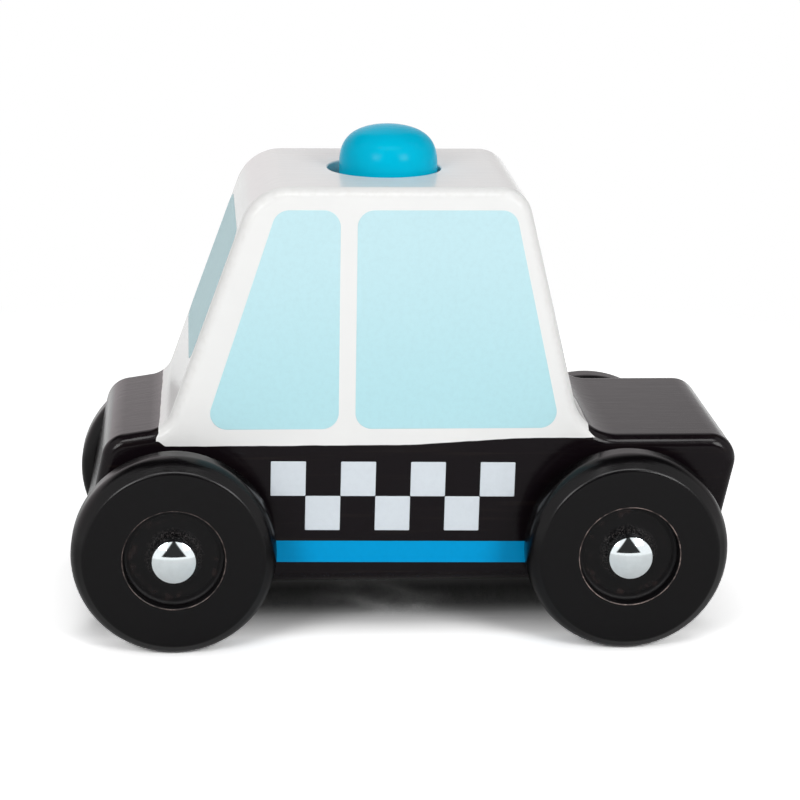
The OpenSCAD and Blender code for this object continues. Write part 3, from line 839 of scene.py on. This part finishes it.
class CAR_OT_chassis(bpy.types.Operator):
    """Black lower body with bonnet and boot, its axle holes, dowel sockets and sound hole"""

    bl_idname = "toy_car.chassis"
    bl_label = "Chassis"
    bl_options = {"REGISTER", "UNDO"}

    def execute(self, context):
        s = context.scene.toy_car
        body, b = s.body, s.button
        piece = body_blank("lower_body", body)
        carve(piece, cab_space(body))
        reach = body.width / 2 + OVERRUN
        for _, x in ENDS:
            carve(piece, turned_on_axle(plain_bar(s.wheels.axle, -reach, reach), x, 1, HOLE_STEPS))
        places, low, _ = dowel_places()
        above, below = body.seat + OVERRUN, body.underside - OVERRUN
        for x in places:
            carve(piece, turned_upright(plain_bar(body.dowel / 2, low, above), x, ROD_STEPS))
        ledge = REED_BOX[1].z - b.plate
        just_below = body.underside - 0.02 * MM
        pocket = [(0, below), (b.sound_hole + 3 * b.lip, below), (b.sound_hole + b.lip, just_below)]
        pocket += [(b.sound_hole, body.underside + b.lip), (b.sound_hole, ledge)]
        pocket += [(b.bore, ledge), (b.bore, above), (0, above)]
        carve(piece, turned_upright(pocket, PUSH_X, DISC_STEPS))
        even_shading(piece)
        place(piece, "car_body", "black_paint", body_lacquer(), "chassis_block")
        return {"FINISHED"}


class CAR_OT_cab(bpy.types.Operator):
    """White cab with the rounded roof hole and the bore below it"""

    bl_idname = "toy_car.cab"
    bl_label = "Cab"
    bl_options = {"REGISTER", "UNDO"}

    def execute(self, context):
        s = context.scene.toy_car
        body, b = s.body, s.button
        piece = body_blank("cab", body)
        carve(piece, cab_space(body), "INTERSECT")
        below, above = body.seat - OVERRUN, body.roof + OVERRUN
        shoulder = body.roof - b.roof_thickness
        flare = quarter((b.hole + b.lip, body.roof - b.lip), b.lip, 90, 10)[::-1][:-1]
        bore = [(0, below), (b.bore, below), (b.bore, shoulder), (b.hole, shoulder), *flare.tolist()]
        bore += [(b.hole + 1.4 * b.lip, body.roof + 0.1 * b.lip), (b.hole + OVERRUN, above), (0, above)]
        carve(piece, turned_upright(bore, b.hole_x, s.wheels.segments))
        places, _, high = dowel_places()
        for x in places:
            carve(piece, turned_upright(plain_bar(body.dowel / 2, below, high), x, ROD_STEPS))
        even_shading(piece)
        place(piece, "car_body", "white_paint", body_lacquer(), "cab_block")
        return {"FINISHED"}


class CAR_OT_dowels(bpy.types.Operator):
    """Fluted dowels that hold the cab"""

    bl_idname = "toy_car.dowels"
    bl_label = "Dowels"
    bl_options = {"REGISTER", "UNDO"}

    def execute(self, context):
        places, low, high = dowel_places()
        chamfer, flutes, depth, flute_steps = 0.9 * MM, 18, 0.25 * MM, 12
        heights = np.array([low, low + chamfer, high - chamfer, high])
        drawn_in = np.array([chamfer, 0, 0, chamfer])
        turn = 2 * math.pi * np.arange(flute_steps * flutes) / (flute_steps * flutes)
        groove = depth * np.maximum(np.cos(flutes * turn), 0) ** 2
        reach = context.scene.toy_car.body.dowel / 2 - drawn_in[:, None] - groove[None]
        plan = reach[..., None] * np.stack([np.cos(turn), np.sin(turn)], axis=1)[None]
        upright = np.broadcast_to(heights[:, None, None], (*plan.shape[:2], 1))
        rings = np.concatenate([plan, upright], axis=-1)
        piece = solid("dowels", joined([capped_rings(rings + [x, 0, 0]) for x in places]))
        place(piece, "car_body", "beech", bare_beech(), "cab_dowels")
        return {"FINISHED"}


class CAR_OT_axles(bpy.types.Operator):
    """Steel axles with chamfered ends"""

    bl_idname = "toy_car.axles"
    bl_label = "Axles"
    bl_options = {"REGISTER", "UNDO"}

    def execute(self, context):
        s = context.scene.toy_car
        steel = metal("drawn_steel", s.colours.steel, 0.22, 0.25)
        r, end, chamfer = s.wheels.axle, s.wheels.axle_end, 0.35 * MM
        profile = [(0, -end), (r - chamfer, -end), (r, chamfer - end)]
        profile += [(r, end - chamfer), (r - chamfer, end), (0, end)]
        for name, x in ENDS:
            piece = solid(f"{name}_axle_rod", turned_on_axle(profile, x, 1, ROD_STEPS), CHAMFER_SHARP)
            even_shading(piece, CHAMFER_SHARP)
            place(piece, "car_body", "axle_steel", steel, f"{name}_axle")
        return {"FINISHED"}


class CAR_OT_washers(bpy.types.Operator):
    """Nylon washers between the body and the wheels"""

    bl_idname = "toy_car.washers"
    bl_label = "Washers"
    bl_options = {"REGISTER", "UNDO"}

    def execute(self, context):
        s = context.scene.toy_car
        play, r = 0.2 * MM, 0.4 * MM
        low, high = s.body.width / 2 + play, s.wheels.back - play
        inner, outer = s.wheels.bore, s.wheels.washer
        profile = [(inner, low), *quarter((outer - r, low + r), r, -90)]
        profile += [*quarter((outer - r, high - r), r, 0), (inner, high)]
        rings = [turned_on_axle(profile, x, side, WASHER_STEPS, closed=True) for _, x, side in CORNERS]
        piece = solid("washers", joined(rings))
        even_shading(piece)
        nylon = moulded("nylon", s.colours.nylon, 0.4, 0.01 * MM)
        place(piece, "car_body", "washer_nylon", nylon, "wheel_spacers")
        return {"FINISHED"}


class CAR_OT_wheels(bpy.types.Operator):
    """Turned wheels with rounded treads and a recess in the face"""

    bl_idname = "toy_car.wheels"
    bl_label = "Wheels"
    bl_options = {"REGISTER", "UNDO"}

    def execute(self, context):
        w = context.scene.toy_car.wheels
        lacquer = wheel_lacquer()
        face = w.back + w.thickness
        floor, floor_fillet, arc_steps = face - w.recess_depth, 0.7 * MM, 14
        corners = [(w.bore, w.back), (w.radius, w.back), (w.radius, face - w.crown_depth)]
        corners += [(w.radius - w.crown, face), (w.recess, face), (w.recess, floor), (w.bore, floor)]
        radii = (w.edge, w.crown_radius, w.face_edge, w.rim, floor_fillet)
        profile = rounded_path(corners, radii, arc_steps)
        for corner, x, side in CORNERS:
            wheel = f"{corner}_wheel"
            piece = solid(f"{wheel}_turned", turned_on_axle(profile, x, side, w.segments, closed=True))
            store_radius(piece, (x, 0, AXLE_Z), (0, 1, 0))
            even_shading(piece)
            place(piece, wheel, "wheel_paint", lacquer, wheel)
        return {"FINISHED"}


class CAR_OT_axle_caps(bpy.types.Operator):
    """Chromed domed caps on the axle ends"""

    bl_idname = "toy_car.axle_caps"
    bl_label = "Axle caps"
    bl_options = {"REGISTER", "UNDO"}

    def execute(self, context):
        s = context.scene.toy_car
        chrome = metal("polished_chrome", s.colours.chrome, 0.03, 0.0)
        profile = self.profile(s.wheels)
        for corner, x, side in CORNERS:
            cap = f"{corner}_axle_cap"
            piece = solid(f"{cap}_chromed", turned_on_axle(profile, x, side, DISC_STEPS))
            place(piece, "car_body", "cap_chrome", chrome, cap)
        return {"FINISHED"}

    def profile(self, w):
        """Cap's profile: a blind hole for the axle, a chamfered base, a straight side, a small rounding
        and a dome that is part of a ball, whose radius follows from the cap's radius and its rise."""
        rim, r, chamfer = w.back + w.thickness + w.cap_side, 0.12 * MM, 0.15 * MM
        hole_end = w.axle_end + 0.2 * MM
        rise = w.cap_top - rim
        ball = (w.cap**2 + rise**2) / (2 * rise)
        slope = math.asin(w.cap / ball)
        edge_turn, slope_share, dome_share, dome_steps = np.linspace(0, 60, 5), 0.4, 0.985, 40
        edge = np.radians(edge_turn) * (1 - slope / (math.pi / 2) * slope_share)
        rounding = np.stack([w.cap - r + r * np.cos(edge), rim - r + r * np.sin(edge)], axis=1)
        turn = slope * np.linspace(dome_share, 0, dome_steps)
        dome = np.stack([ball * np.sin(turn), w.cap_top - ball * (1 - np.cos(turn))], axis=1)
        base = [(0, hole_end), (w.axle, hole_end), (w.axle, w.cap_base), (w.cap - chamfer, w.cap_base)]
        return [*base, (w.cap, w.cap_base + chamfer), *rounding, *dome]


class CAR_OT_siren_button(bpy.types.Operator):
    """Blue siren button: a squarish dome with its neck, flange and stem"""

    bl_idname = "toy_car.siren_button"
    bl_label = "Siren button"
    bl_options = {"REGISTER", "UNDO"}

    def execute(self, context):
        s = context.scene.toy_car
        b, roof = s.button, s.body.roof
        top = roof - b.roof_thickness - b.play
        base, foot, r = top - b.flange_thickness, BUTTON_BOX[0].z, 0.5 * MM
        height, point_width, dome_steps = BUTTON_BOX[1].z - roof, 0.42 * b.radius, 48
        turn = np.linspace(0, math.pi / 2, dome_steps)
        reach = b.radius * np.cos(turn) ** (2 / b.squareness)
        reach[-1] = 0
        point = b.crown * np.exp(-((reach / point_width) ** 2))
        rise = height * np.sin(turn) ** (2 / b.squareness) + point
        profile = [(0, foot), *quarter((b.stem - r, foot + r), r, -90), (b.stem, base)]
        profile += [*quarter((b.flange - r, base + r), r, -90), *quarter((b.flange - r, top - r), r, 0)]
        profile += [(b.radius, top), *np.stack([reach, roof + rise], axis=1)]
        piece = solid("siren_dome", turned_upright(profile, PUSH_X, s.wheels.segments))
        even_shading(piece)
        place(piece, "siren_button", "blue_paint", button_lacquer(), "siren_button")
        return {"FINISHED"}


class CAR_OT_squeaker(bpy.types.Operator):
    """Return spring, bellows and reed plate inside the cab"""

    bl_idname = "toy_car.squeaker"
    bl_label = "Squeaker"
    bl_options = {"REGISTER", "UNDO"}

    def execute(self, context):
        s = context.scene.toy_car
        b = s.button
        spring = solid("coil_spring", self.coil(b))
        wire = metal("spring_wire", s.colours.steel, 0.18, 0.1)
        place(spring, "car_body", "spring_steel", wire, "return_spring")
        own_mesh(spring)
        bellows = solid("bellows", turned_upright(self.folds(b), PUSH_X, DISC_STEPS))
        rubber = moulded("rubber", s.colours.rubber, 0.55, 0.02 * MM)
        place(bellows, "car_body", "bellows_rubber", rubber, "squeaker_bellows")
        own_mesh(bellows)
        plate = turned_upright(self.plate(b), PUSH_X, DISC_STEPS, closed=True)
        reed = solid("reed_plate", plate, CHAMFER_SHARP)
        even_shading(reed, CHAMFER_SHARP)
        plastic = moulded("reed_plastic", s.colours.horn, 0.35, 0.005 * MM)
        place(reed, "car_body", "reed_plastic", plastic, "squeaker_reed")
        return {"FINISHED"}

    def coil(self, b):
        """Tube of round wire along a helix: the height rises evenly with the turn, and more slowly in
        the first and last turns, which lie close to their seats."""
        wire, wire_sides, turn_steps = b.wire / 2, 10, 48
        mean = half_length(SPRING_BOX) - wire
        low, high = REED_BOX[1].z + wire, SPRING_BOX[1].z - wire
        turns = np.linspace(0, b.turns, int(turn_steps * b.turns) + 1)
        flat, pitch, tall = 1.0, 1.15 * b.wire, high - low
        inner = (tall - 2 * flat * pitch) / (b.turns - 2 * flat)
        bends = [0, flat, b.turns - flat, b.turns]
        rise = np.interp(turns, bends, [0, flat * pitch, tall - flat * pitch, tall])
        slope = np.where((turns < flat) | (turns > b.turns - flat), pitch, inner) / (2 * math.pi)
        spin = 2 * math.pi * turns
        zero = np.zeros_like(spin)
        out = np.stack([np.cos(spin), np.sin(spin), zero], axis=1)
        ahead = np.stack([-mean * np.sin(spin), mean * np.cos(spin), slope], axis=1)
        ahead /= np.linalg.norm(ahead, axis=1, keepdims=True)
        over = np.cross(out, ahead)
        centre = mean * out + np.stack([zero + PUSH_X, zero, low + rise], axis=1)
        around = (2 * math.pi * np.arange(wire_sides) / wire_sides)[None, :, None]
        section = np.cos(around) * out[:, None] + np.sin(around) * over[:, None]
        return capped_rings(centre[:, None] + wire * section)

    def folds(self, b):
        """Bellows profile: the wall's radius follows a cosine wave up the bellows, inside and out."""
        low, high = BELLOWS_BOX[0].z, BELLOWS_BOX[1].z
        outer = half_length(BELLOWS_BOX)
        lid_thickness, bevel, fold_steps = 1.2 * MM, 0.3 * MM, 16
        up = np.linspace(0, 1, fold_steps * b.folds + 1)
        wave = outer - b.fold_depth * (1 + np.cos(2 * math.pi * b.folds * up)) / 2
        wall = np.stack([wave, low + up * (high - lid_thickness - low)], axis=1)
        neck = outer - b.fold_depth
        lid = [(neck, high - bevel), (neck - bevel, high), (0, high), (0, high - lid_thickness)]
        inside = wall[::-1] - np.array([b.wall, 0])
        return [(wall[0, 0] - b.wall, low), *wall, *lid, *inside]

    def plate(self, b):
        """Reed profile: a pipe below a round plate, with chamfered edges."""
        low, top, chamfer = REED_BOX[0].z, REED_BOX[1].z, 0.4 * MM
        plate, edge = top - b.plate, half_length(REED_BOX)
        pipe = [(b.pipe_bore, low), (b.pipe - chamfer, low), (b.pipe, low + chamfer), (b.pipe, plate)]
        rim = [(edge - chamfer, plate), (edge, plate + chamfer), (edge, top - chamfer), (edge - chamfer, top)]
        return [*pipe, *rim, (b.pipe_bore + chamfer, top), (b.pipe_bore, top - chamfer)]


def place_films(name, outlines, where, slot, ink, node):
    """One printed piece of films with the given outlines."""
    p = settings().prints
    films = [film_surface(*outline, p.film, p.rim, where) for outline in outlines]
    piece = solid(name, joined(films), FILM_SHARP)
    even_shading(piece, FILM_SHARP)
    place(piece, "car_body", slot, ink, node)


def print_sides(kind, outlines, slot, ink, nodes):
    """The same films, drawn in x and z, on both sides of the body."""
    half = settings().body.width / 2
    for hand, side in SIDES:
        where = (0, side * half, 0), (1, 0, 0), (0, 0, 1), (0, side, 0)
        place_films(f"{hand}_{kind}_ink", outlines, where, slot, ink, f"{hand}_{nodes}")


class CAR_OT_window_prints(bpy.types.Operator):
    """Printed windows on the sides and on both slopes of the cab"""

    bl_idname = "toy_car.window_prints"
    bl_label = "Window prints"
    bl_options = {"REGISTER", "UNDO"}

    shine = 0.08

    def execute(self, context):
        s = context.scene.toy_car
        self.side_windows(s.prints, s.colours)
        self.slope_windows(s.prints, s.body, s.colours)
        return {"FINISHED"}

    def pane(self, p, rear_foot, front_foot, front_top, rear_top, foot, top):
        """Rounded pane from its places along its foot and its top, and their heights."""
        corners = ((rear_foot, foot), (front_foot, foot), (front_top, top), (rear_top, top))
        return rounded_outline([(*corner, p.window_radius) for corner in corners], p.window_steps)

    def side_windows(self, p, colours):
        """Both panes on each side, parted by the pillar."""
        foot, top = p.window_foot, p.window_top
        ink = print_ink("window_ink", colours.window, colours.window_low, top, foot, self.shine)
        ahead, behind = (MID_X + p.pillar + way * p.pillar_width / 2 for way in (1, -1))
        front, back = MID_X + p.front_foot, MID_X + p.back_foot
        front_top = front - (top - foot) * math.tan(p.front_lean)
        back_top = back + (top - foot) * math.tan(p.back_lean)
        panes = [
            self.pane(p, ahead, front, front_top, ahead, foot, top),
            self.pane(p, back, behind, behind, back_top, foot, top),
        ]
        print_sides("window", panes, "window_print", ink, "window_prints")

    def slope_windows(self, p, body, colours):
        """Windscreen and rear window, each drawn from the foot of its slope."""
        tone = colours.slope_window
        ink = print_ink("slope_window_ink", tone, tone, body.roof, body.deck, self.shine)
        wide = body.width / 2 - p.end_margin
        pane = self.pane(p, -wide, wide, wide, -wide, p.end_rise, p.end_rise + p.end_height)
        slopes = (
            ("windscreen", MID_X + body.windscreen_foot, body.deck, -body.windscreen_lean, 1),
            ("rear_window", MID_X - body.rear_foot, boot_foot(body), body.rear_lean, -1),
        )
        for name, x, z, lean, way in slopes:
            up = (math.sin(lean), 0, math.cos(lean))
            outward = (way * math.cos(lean), 0, -way * math.sin(lean))
            where = ((x, 0, z), (0, 1, 0), up, outward)
            place_films(f"{name}_ink", [pane], where, "window_print", ink, f"{name}_print")


def tilted(outlines, p):
    """Outlines turned nose-down about the middle of the checks."""
    middle = np.array([p.check_middle, p.check_top - p.check_height])
    cos, sin = math.cos(-p.tilt), math.sin(-p.tilt)
    turn = np.array([[cos, sin], [-sin, cos]])
    return [((points - middle) @ turn + middle, normals @ turn) for points, normals in outlines]


def oblong(p, x, z, width, height):
    """Rectangle with slightly rounded corners, from its lower left corner."""
    corners = ((x, z), (x + width, z), (x + width, z + height), (x, z + height))
    return rounded_outline([(*corner, p.corner) for corner in corners], p.corner_steps)


class CAR_OT_check_prints(bpy.types.Operator):
    """Printed checks on both sides"""

    bl_idname = "toy_car.check_prints"
    bl_label = "Check prints"
    bl_options = {"REGISTER", "UNDO"}

    def execute(self, context):
        p, tone = context.scene.toy_car.prints, context.scene.toy_car.colours.check
        wide, tall, top = p.check_width, p.check_height, p.check_top
        ink = print_ink("check_ink", tone, tone, top, top - 2 * tall)
        first = p.check_middle - p.check_columns * wide / 2
        squares = [
            oblong(p, first + column * wide, top - (1 + column % 2) * tall, wide, tall)
            for column in range(p.check_columns)
        ]
        print_sides("check", tilted(squares, p), "check_print", ink, "check_prints")
        return {"FINISHED"}


class CAR_OT_stripe_prints(bpy.types.Operator):
    """Printed blue stripe on both sides"""

    bl_idname = "toy_car.stripe_prints"
    bl_label = "Stripe prints"
    bl_options = {"REGISTER", "UNDO"}

    def execute(self, context):
        p, tone = context.scene.toy_car.prints, context.scene.toy_car.colours.stripe
        top = p.check_top - 2 * p.check_height - p.stripe_gap
        foot, shine = top - p.stripe_height, 0.06
        ink = print_ink("stripe_ink", tone, tone, top, foot, shine)
        bar = oblong(p, MID_X - p.stripe_half, foot, 2 * p.stripe_half, p.stripe_height)
        print_sides("stripe", tilted([bar], p), "stripe_print", ink, "stripe_print")
        return {"FINISHED"}


class CAR_OT_stage(bpy.types.Operator):
    """Pale floor, soft studio light and the camera"""

    bl_idname = "toy_car.stage"
    bl_label = "Stage"
    bl_options = {"REGISTER", "UNDO"}

    def execute(self, context):
        stage = context.scene.toy_car.stage
        floor = self.floor(stage)
        self.studio(stage)
        self.lamps(stage, floor)
        self.camera(stage)
        context.scene.view_settings.view_transform = "Standard"
        return {"FINISHED"}

    def floor(self, stage):
        """Wide pale floor, as bright as the background where no shadow falls, with a shadow painted into its
        colour under the car, darkest where little sky is open."""
        reach = 4.0
        corners = [(-reach, -reach, 0), (reach, -reach, 0), (reach, reach, 0), (-reach, reach, 0)]
        mesh = bpy.data.meshes.new("floor")
        mesh.from_pydata(corners, [], [(0, 1, 2, 3)])
        floor = add_object("floor", mesh)
        f = new_finish("floor_sweep")
        rays = f.node("LightPath", {}).outputs
        darkest, bounce_level = 0.028, 0.82
        # Painted shadow: ambient occlusion darkens the floor's colour in a strip under the car, down to the
        # darkest level
        open_sky = f.number("AmbientOcclusion", {"Distance": stage.contact}, "AO", samples=16)
        outside = f.step(abs(f.axes()[1]), 2 * MM, 25 * MM)
        shaded = f.larger(f.step(open_sky, 0.42, 0.70, darkest, 1.0), outside)
        level = f.ramp(rays["Is Camera Ray"], 0.0, 1.0, bounce_level, stage.floor_white)
        paper = f.node("BsdfDiffuse", {"Color": shaded * level})
        glow = f.node("Emission", {"Color": (1, 1, 1, 1), "Strength": 1.0})
        away = f.step(f.length(f.coordinates()), stage.floor_near, stage.floor_far)
        far = away * f.larger(rays["Is Camera Ray"], rays["Is Glossy Ray"])
        mixed = f.node("MixShader", {0: far, 1: paper.outputs[0], 2: glow.outputs[0]})
        f.node("OutputMaterial", {"Surface": mixed.outputs[0]})
        mesh.materials.append(f.owner)
        return floor

    def studio(self, stage):
        """White background, even light, and for gloss a dark studio with a white screen on each side
        before the car, a bright bar high before it and a low, slightly warm backdrop behind it."""
        world = bpy.data.worlds.new("studio")
        bpy.context.scene.world = world
        f = Finish(world)
        x, y, z = f.axes("Generated")
        around = abs(f.math("ARCTAN2", x, y * -1.0))
        rise = f.math("ARCSINE", z)

        # Screens, parted by a gap that is narrowest at the waist
        waist, gap_slope = math.radians(48), 0.66
        inner = f.step(around - abs(rise - waist) * gap_slope, -0.03, 0.05)
        screens = inner * (f.fall(around, 1.7, 2.0) * f.fall(rise, 1.0, 1.25))

        # Backdrop, higher in its middle and dimmer to the right
        top = z - f.fall(abs(x), 0.12, 0.4, 0.3)
        backdrop = f.step(y, -0.25, 0.1) * f.fall(top, 0.42, 0.62) * f.ramp(x, -0.15, 0.4, 1.0, 0.5)

        # Bar, and the dark level of the rest
        bar_rise, bar_level, dark_level = math.radians(57), 8.0, 0.03
        bar = f.fall(abs(rise - bar_rise), 0.12, 0.16, bar_level) * f.fall(around, 0.6, 0.7)
        glossy = f.ramp(f.larger(screens, backdrop), 0.0, 1.0, dark_level, 1.0) + bar

        rays = f.node("LightPath", {}).outputs
        level = f.choose(rays["Is Glossy Ray"], stage.ambient, glossy)
        clear = f.larger(rays["Is Camera Ray"], rays["Is Transmission Ray"])
        level = f.choose(clear, level, 1.0)
        white, warm_white = (1.0, 1.0, 1.0), (1.0, 0.925, 0.945)
        tone = f.blend(backdrop * rays["Is Glossy Ray"], white, warm_white)
        light = f.node("Background", {"Color": tone, "Strength": level})
        f.node("OutputWorld", {"Surface": light.outputs[0]})

    def lamps(self, stage, floor):
        """Two softboxes before the car, left and right of the camera, a wide one above, and a fill
        behind the car that spares the floor. Each row has a lamp's name, its turn from the camera's
        side and its elevation in degrees, its power and its width."""
        distance, aim = 0.75, np.array([MID_X, 0, 45 * MM])
        lamps = (
            ("left_softbox", -34, 24, 0.93 * stage.box_power, 0.25),
            ("right_softbox", 34, 24, 1.05 * stage.box_power, 0.25),
            ("top_light", 180, 75, stage.top_power, 0.6),
            ("back_fill", 180, 12, stage.fill_power, 0.5),
        )
        spared = bpy.data.collections.new("spared_floor")
        spared.objects.link(floor)
        spared.collection_objects[0].light_linking.link_state = "EXCLUDE"
        for name, around, rise, power, wide in lamps:
            a, e = math.radians(around), math.radians(rise)
            way = np.array([math.sin(a) * math.cos(e), -math.cos(a) * math.cos(e), math.sin(e)])
            light = bpy.data.lights.new(name, "AREA")
            light.energy, light.size, light.shape = power, wide, "SQUARE"
            lamp = add_object(name, light)
            lamp.matrix_world = looking(aim + distance * way, -way)
            lamp.visible_glossy = name.endswith("softbox")
            if name == "back_fill":
                lamp.light_linking.receiver_collection = spared

    def camera(self, stage):
        """Camera at the photograph's place, turned by yaw, pitch and roll."""
        level = math.cos(stage.pitch)
        ahead = (math.sin(stage.yaw) * level, math.cos(stage.yaw) * level, -math.sin(stage.pitch))
        lens = bpy.data.cameras.new("camera")
        lens.sensor_width = 36.0
        lens.lens = lens.sensor_width * stage.focal
        lens.clip_start, lens.clip_end = 0.01, 50.0
        camera = add_object("camera", lens)
        camera.matrix_world = looking(np.array(stage.camera_place) + [MID_X, 0, 0], ahead, stage.roll)
        bpy.context.scene.camera = camera


def looking(where, ahead, roll=0.0):
    """Matrix of a camera or lamp at a place that looks ahead, with its right side rolled upward."""
    ahead = unit(ahead)
    right = unit(np.cross(ahead, (0, 0, 1)))
    up = np.cross(right, ahead)
    cos, sin = math.cos(roll), math.sin(roll)
    right, up = cos * right + sin * up, cos * up - sin * right
    turn = Matrix(np.stack([right, up, -ahead], axis=1).tolist()).to_4x4()
    return Matrix.Translation(where.tolist()) @ turn


OPERATORS = (
    CAR_OT_stage,
    CAR_OT_chassis,
    CAR_OT_cab,
    CAR_OT_dowels,
    CAR_OT_axles,
    CAR_OT_washers,
    CAR_OT_wheels,
    CAR_OT_axle_caps,
    CAR_OT_siren_button,
    CAR_OT_squeaker,
    CAR_OT_window_prints,
    CAR_OT_check_prints,
    CAR_OT_stripe_prints,
)
GROUPS = (BodySizes, WheelSizes, ButtonSizes, PrintSizes, Colours, StageSettings, CarSettings)


class CAR_PT_panel(bpy.types.Panel):
    """Buttons that build the pieces of the toy car"""

    bl_idname = "CAR_PT_panel"
    bl_label = "Toy police car"
    bl_space_type = "VIEW_3D"
    bl_region_type = "UI"
    bl_category = "Toy car"

    def draw(self, context):
        for operator in OPERATORS:
            self.layout.operator(operator.bl_idname)
        for group in CarSettings.__annotations__:
            box = self.layout.box()
            box.label(text=group.capitalize())
            values = getattr(context.scene.toy_car, group)
            for name in values.__annotations__:
                box.prop(values, name)


CLASSES = (*GROUPS, *OPERATORS, CAR_PT_panel)


def register():
    """Registers the classes and the scene's settings."""
    for made in CLASSES:
        bpy.utils.register_class(made)
    bpy.types.Scene.toy_car = PointerProperty(type=CarSettings)


def unregister():
    """Removes the settings and the classes."""
    del bpy.types.Scene.toy_car
    for made in reversed(CLASSES):
        bpy.utils.unregister_class(made)


def main():
    """Builds all pieces and the stage."""
    register()
    for operator in OPERATORS:
        group, name = operator.bl_idname.split(".")
        getattr(getattr(bpy.ops, group), name)()


if __name__ == "__main__":
    main()
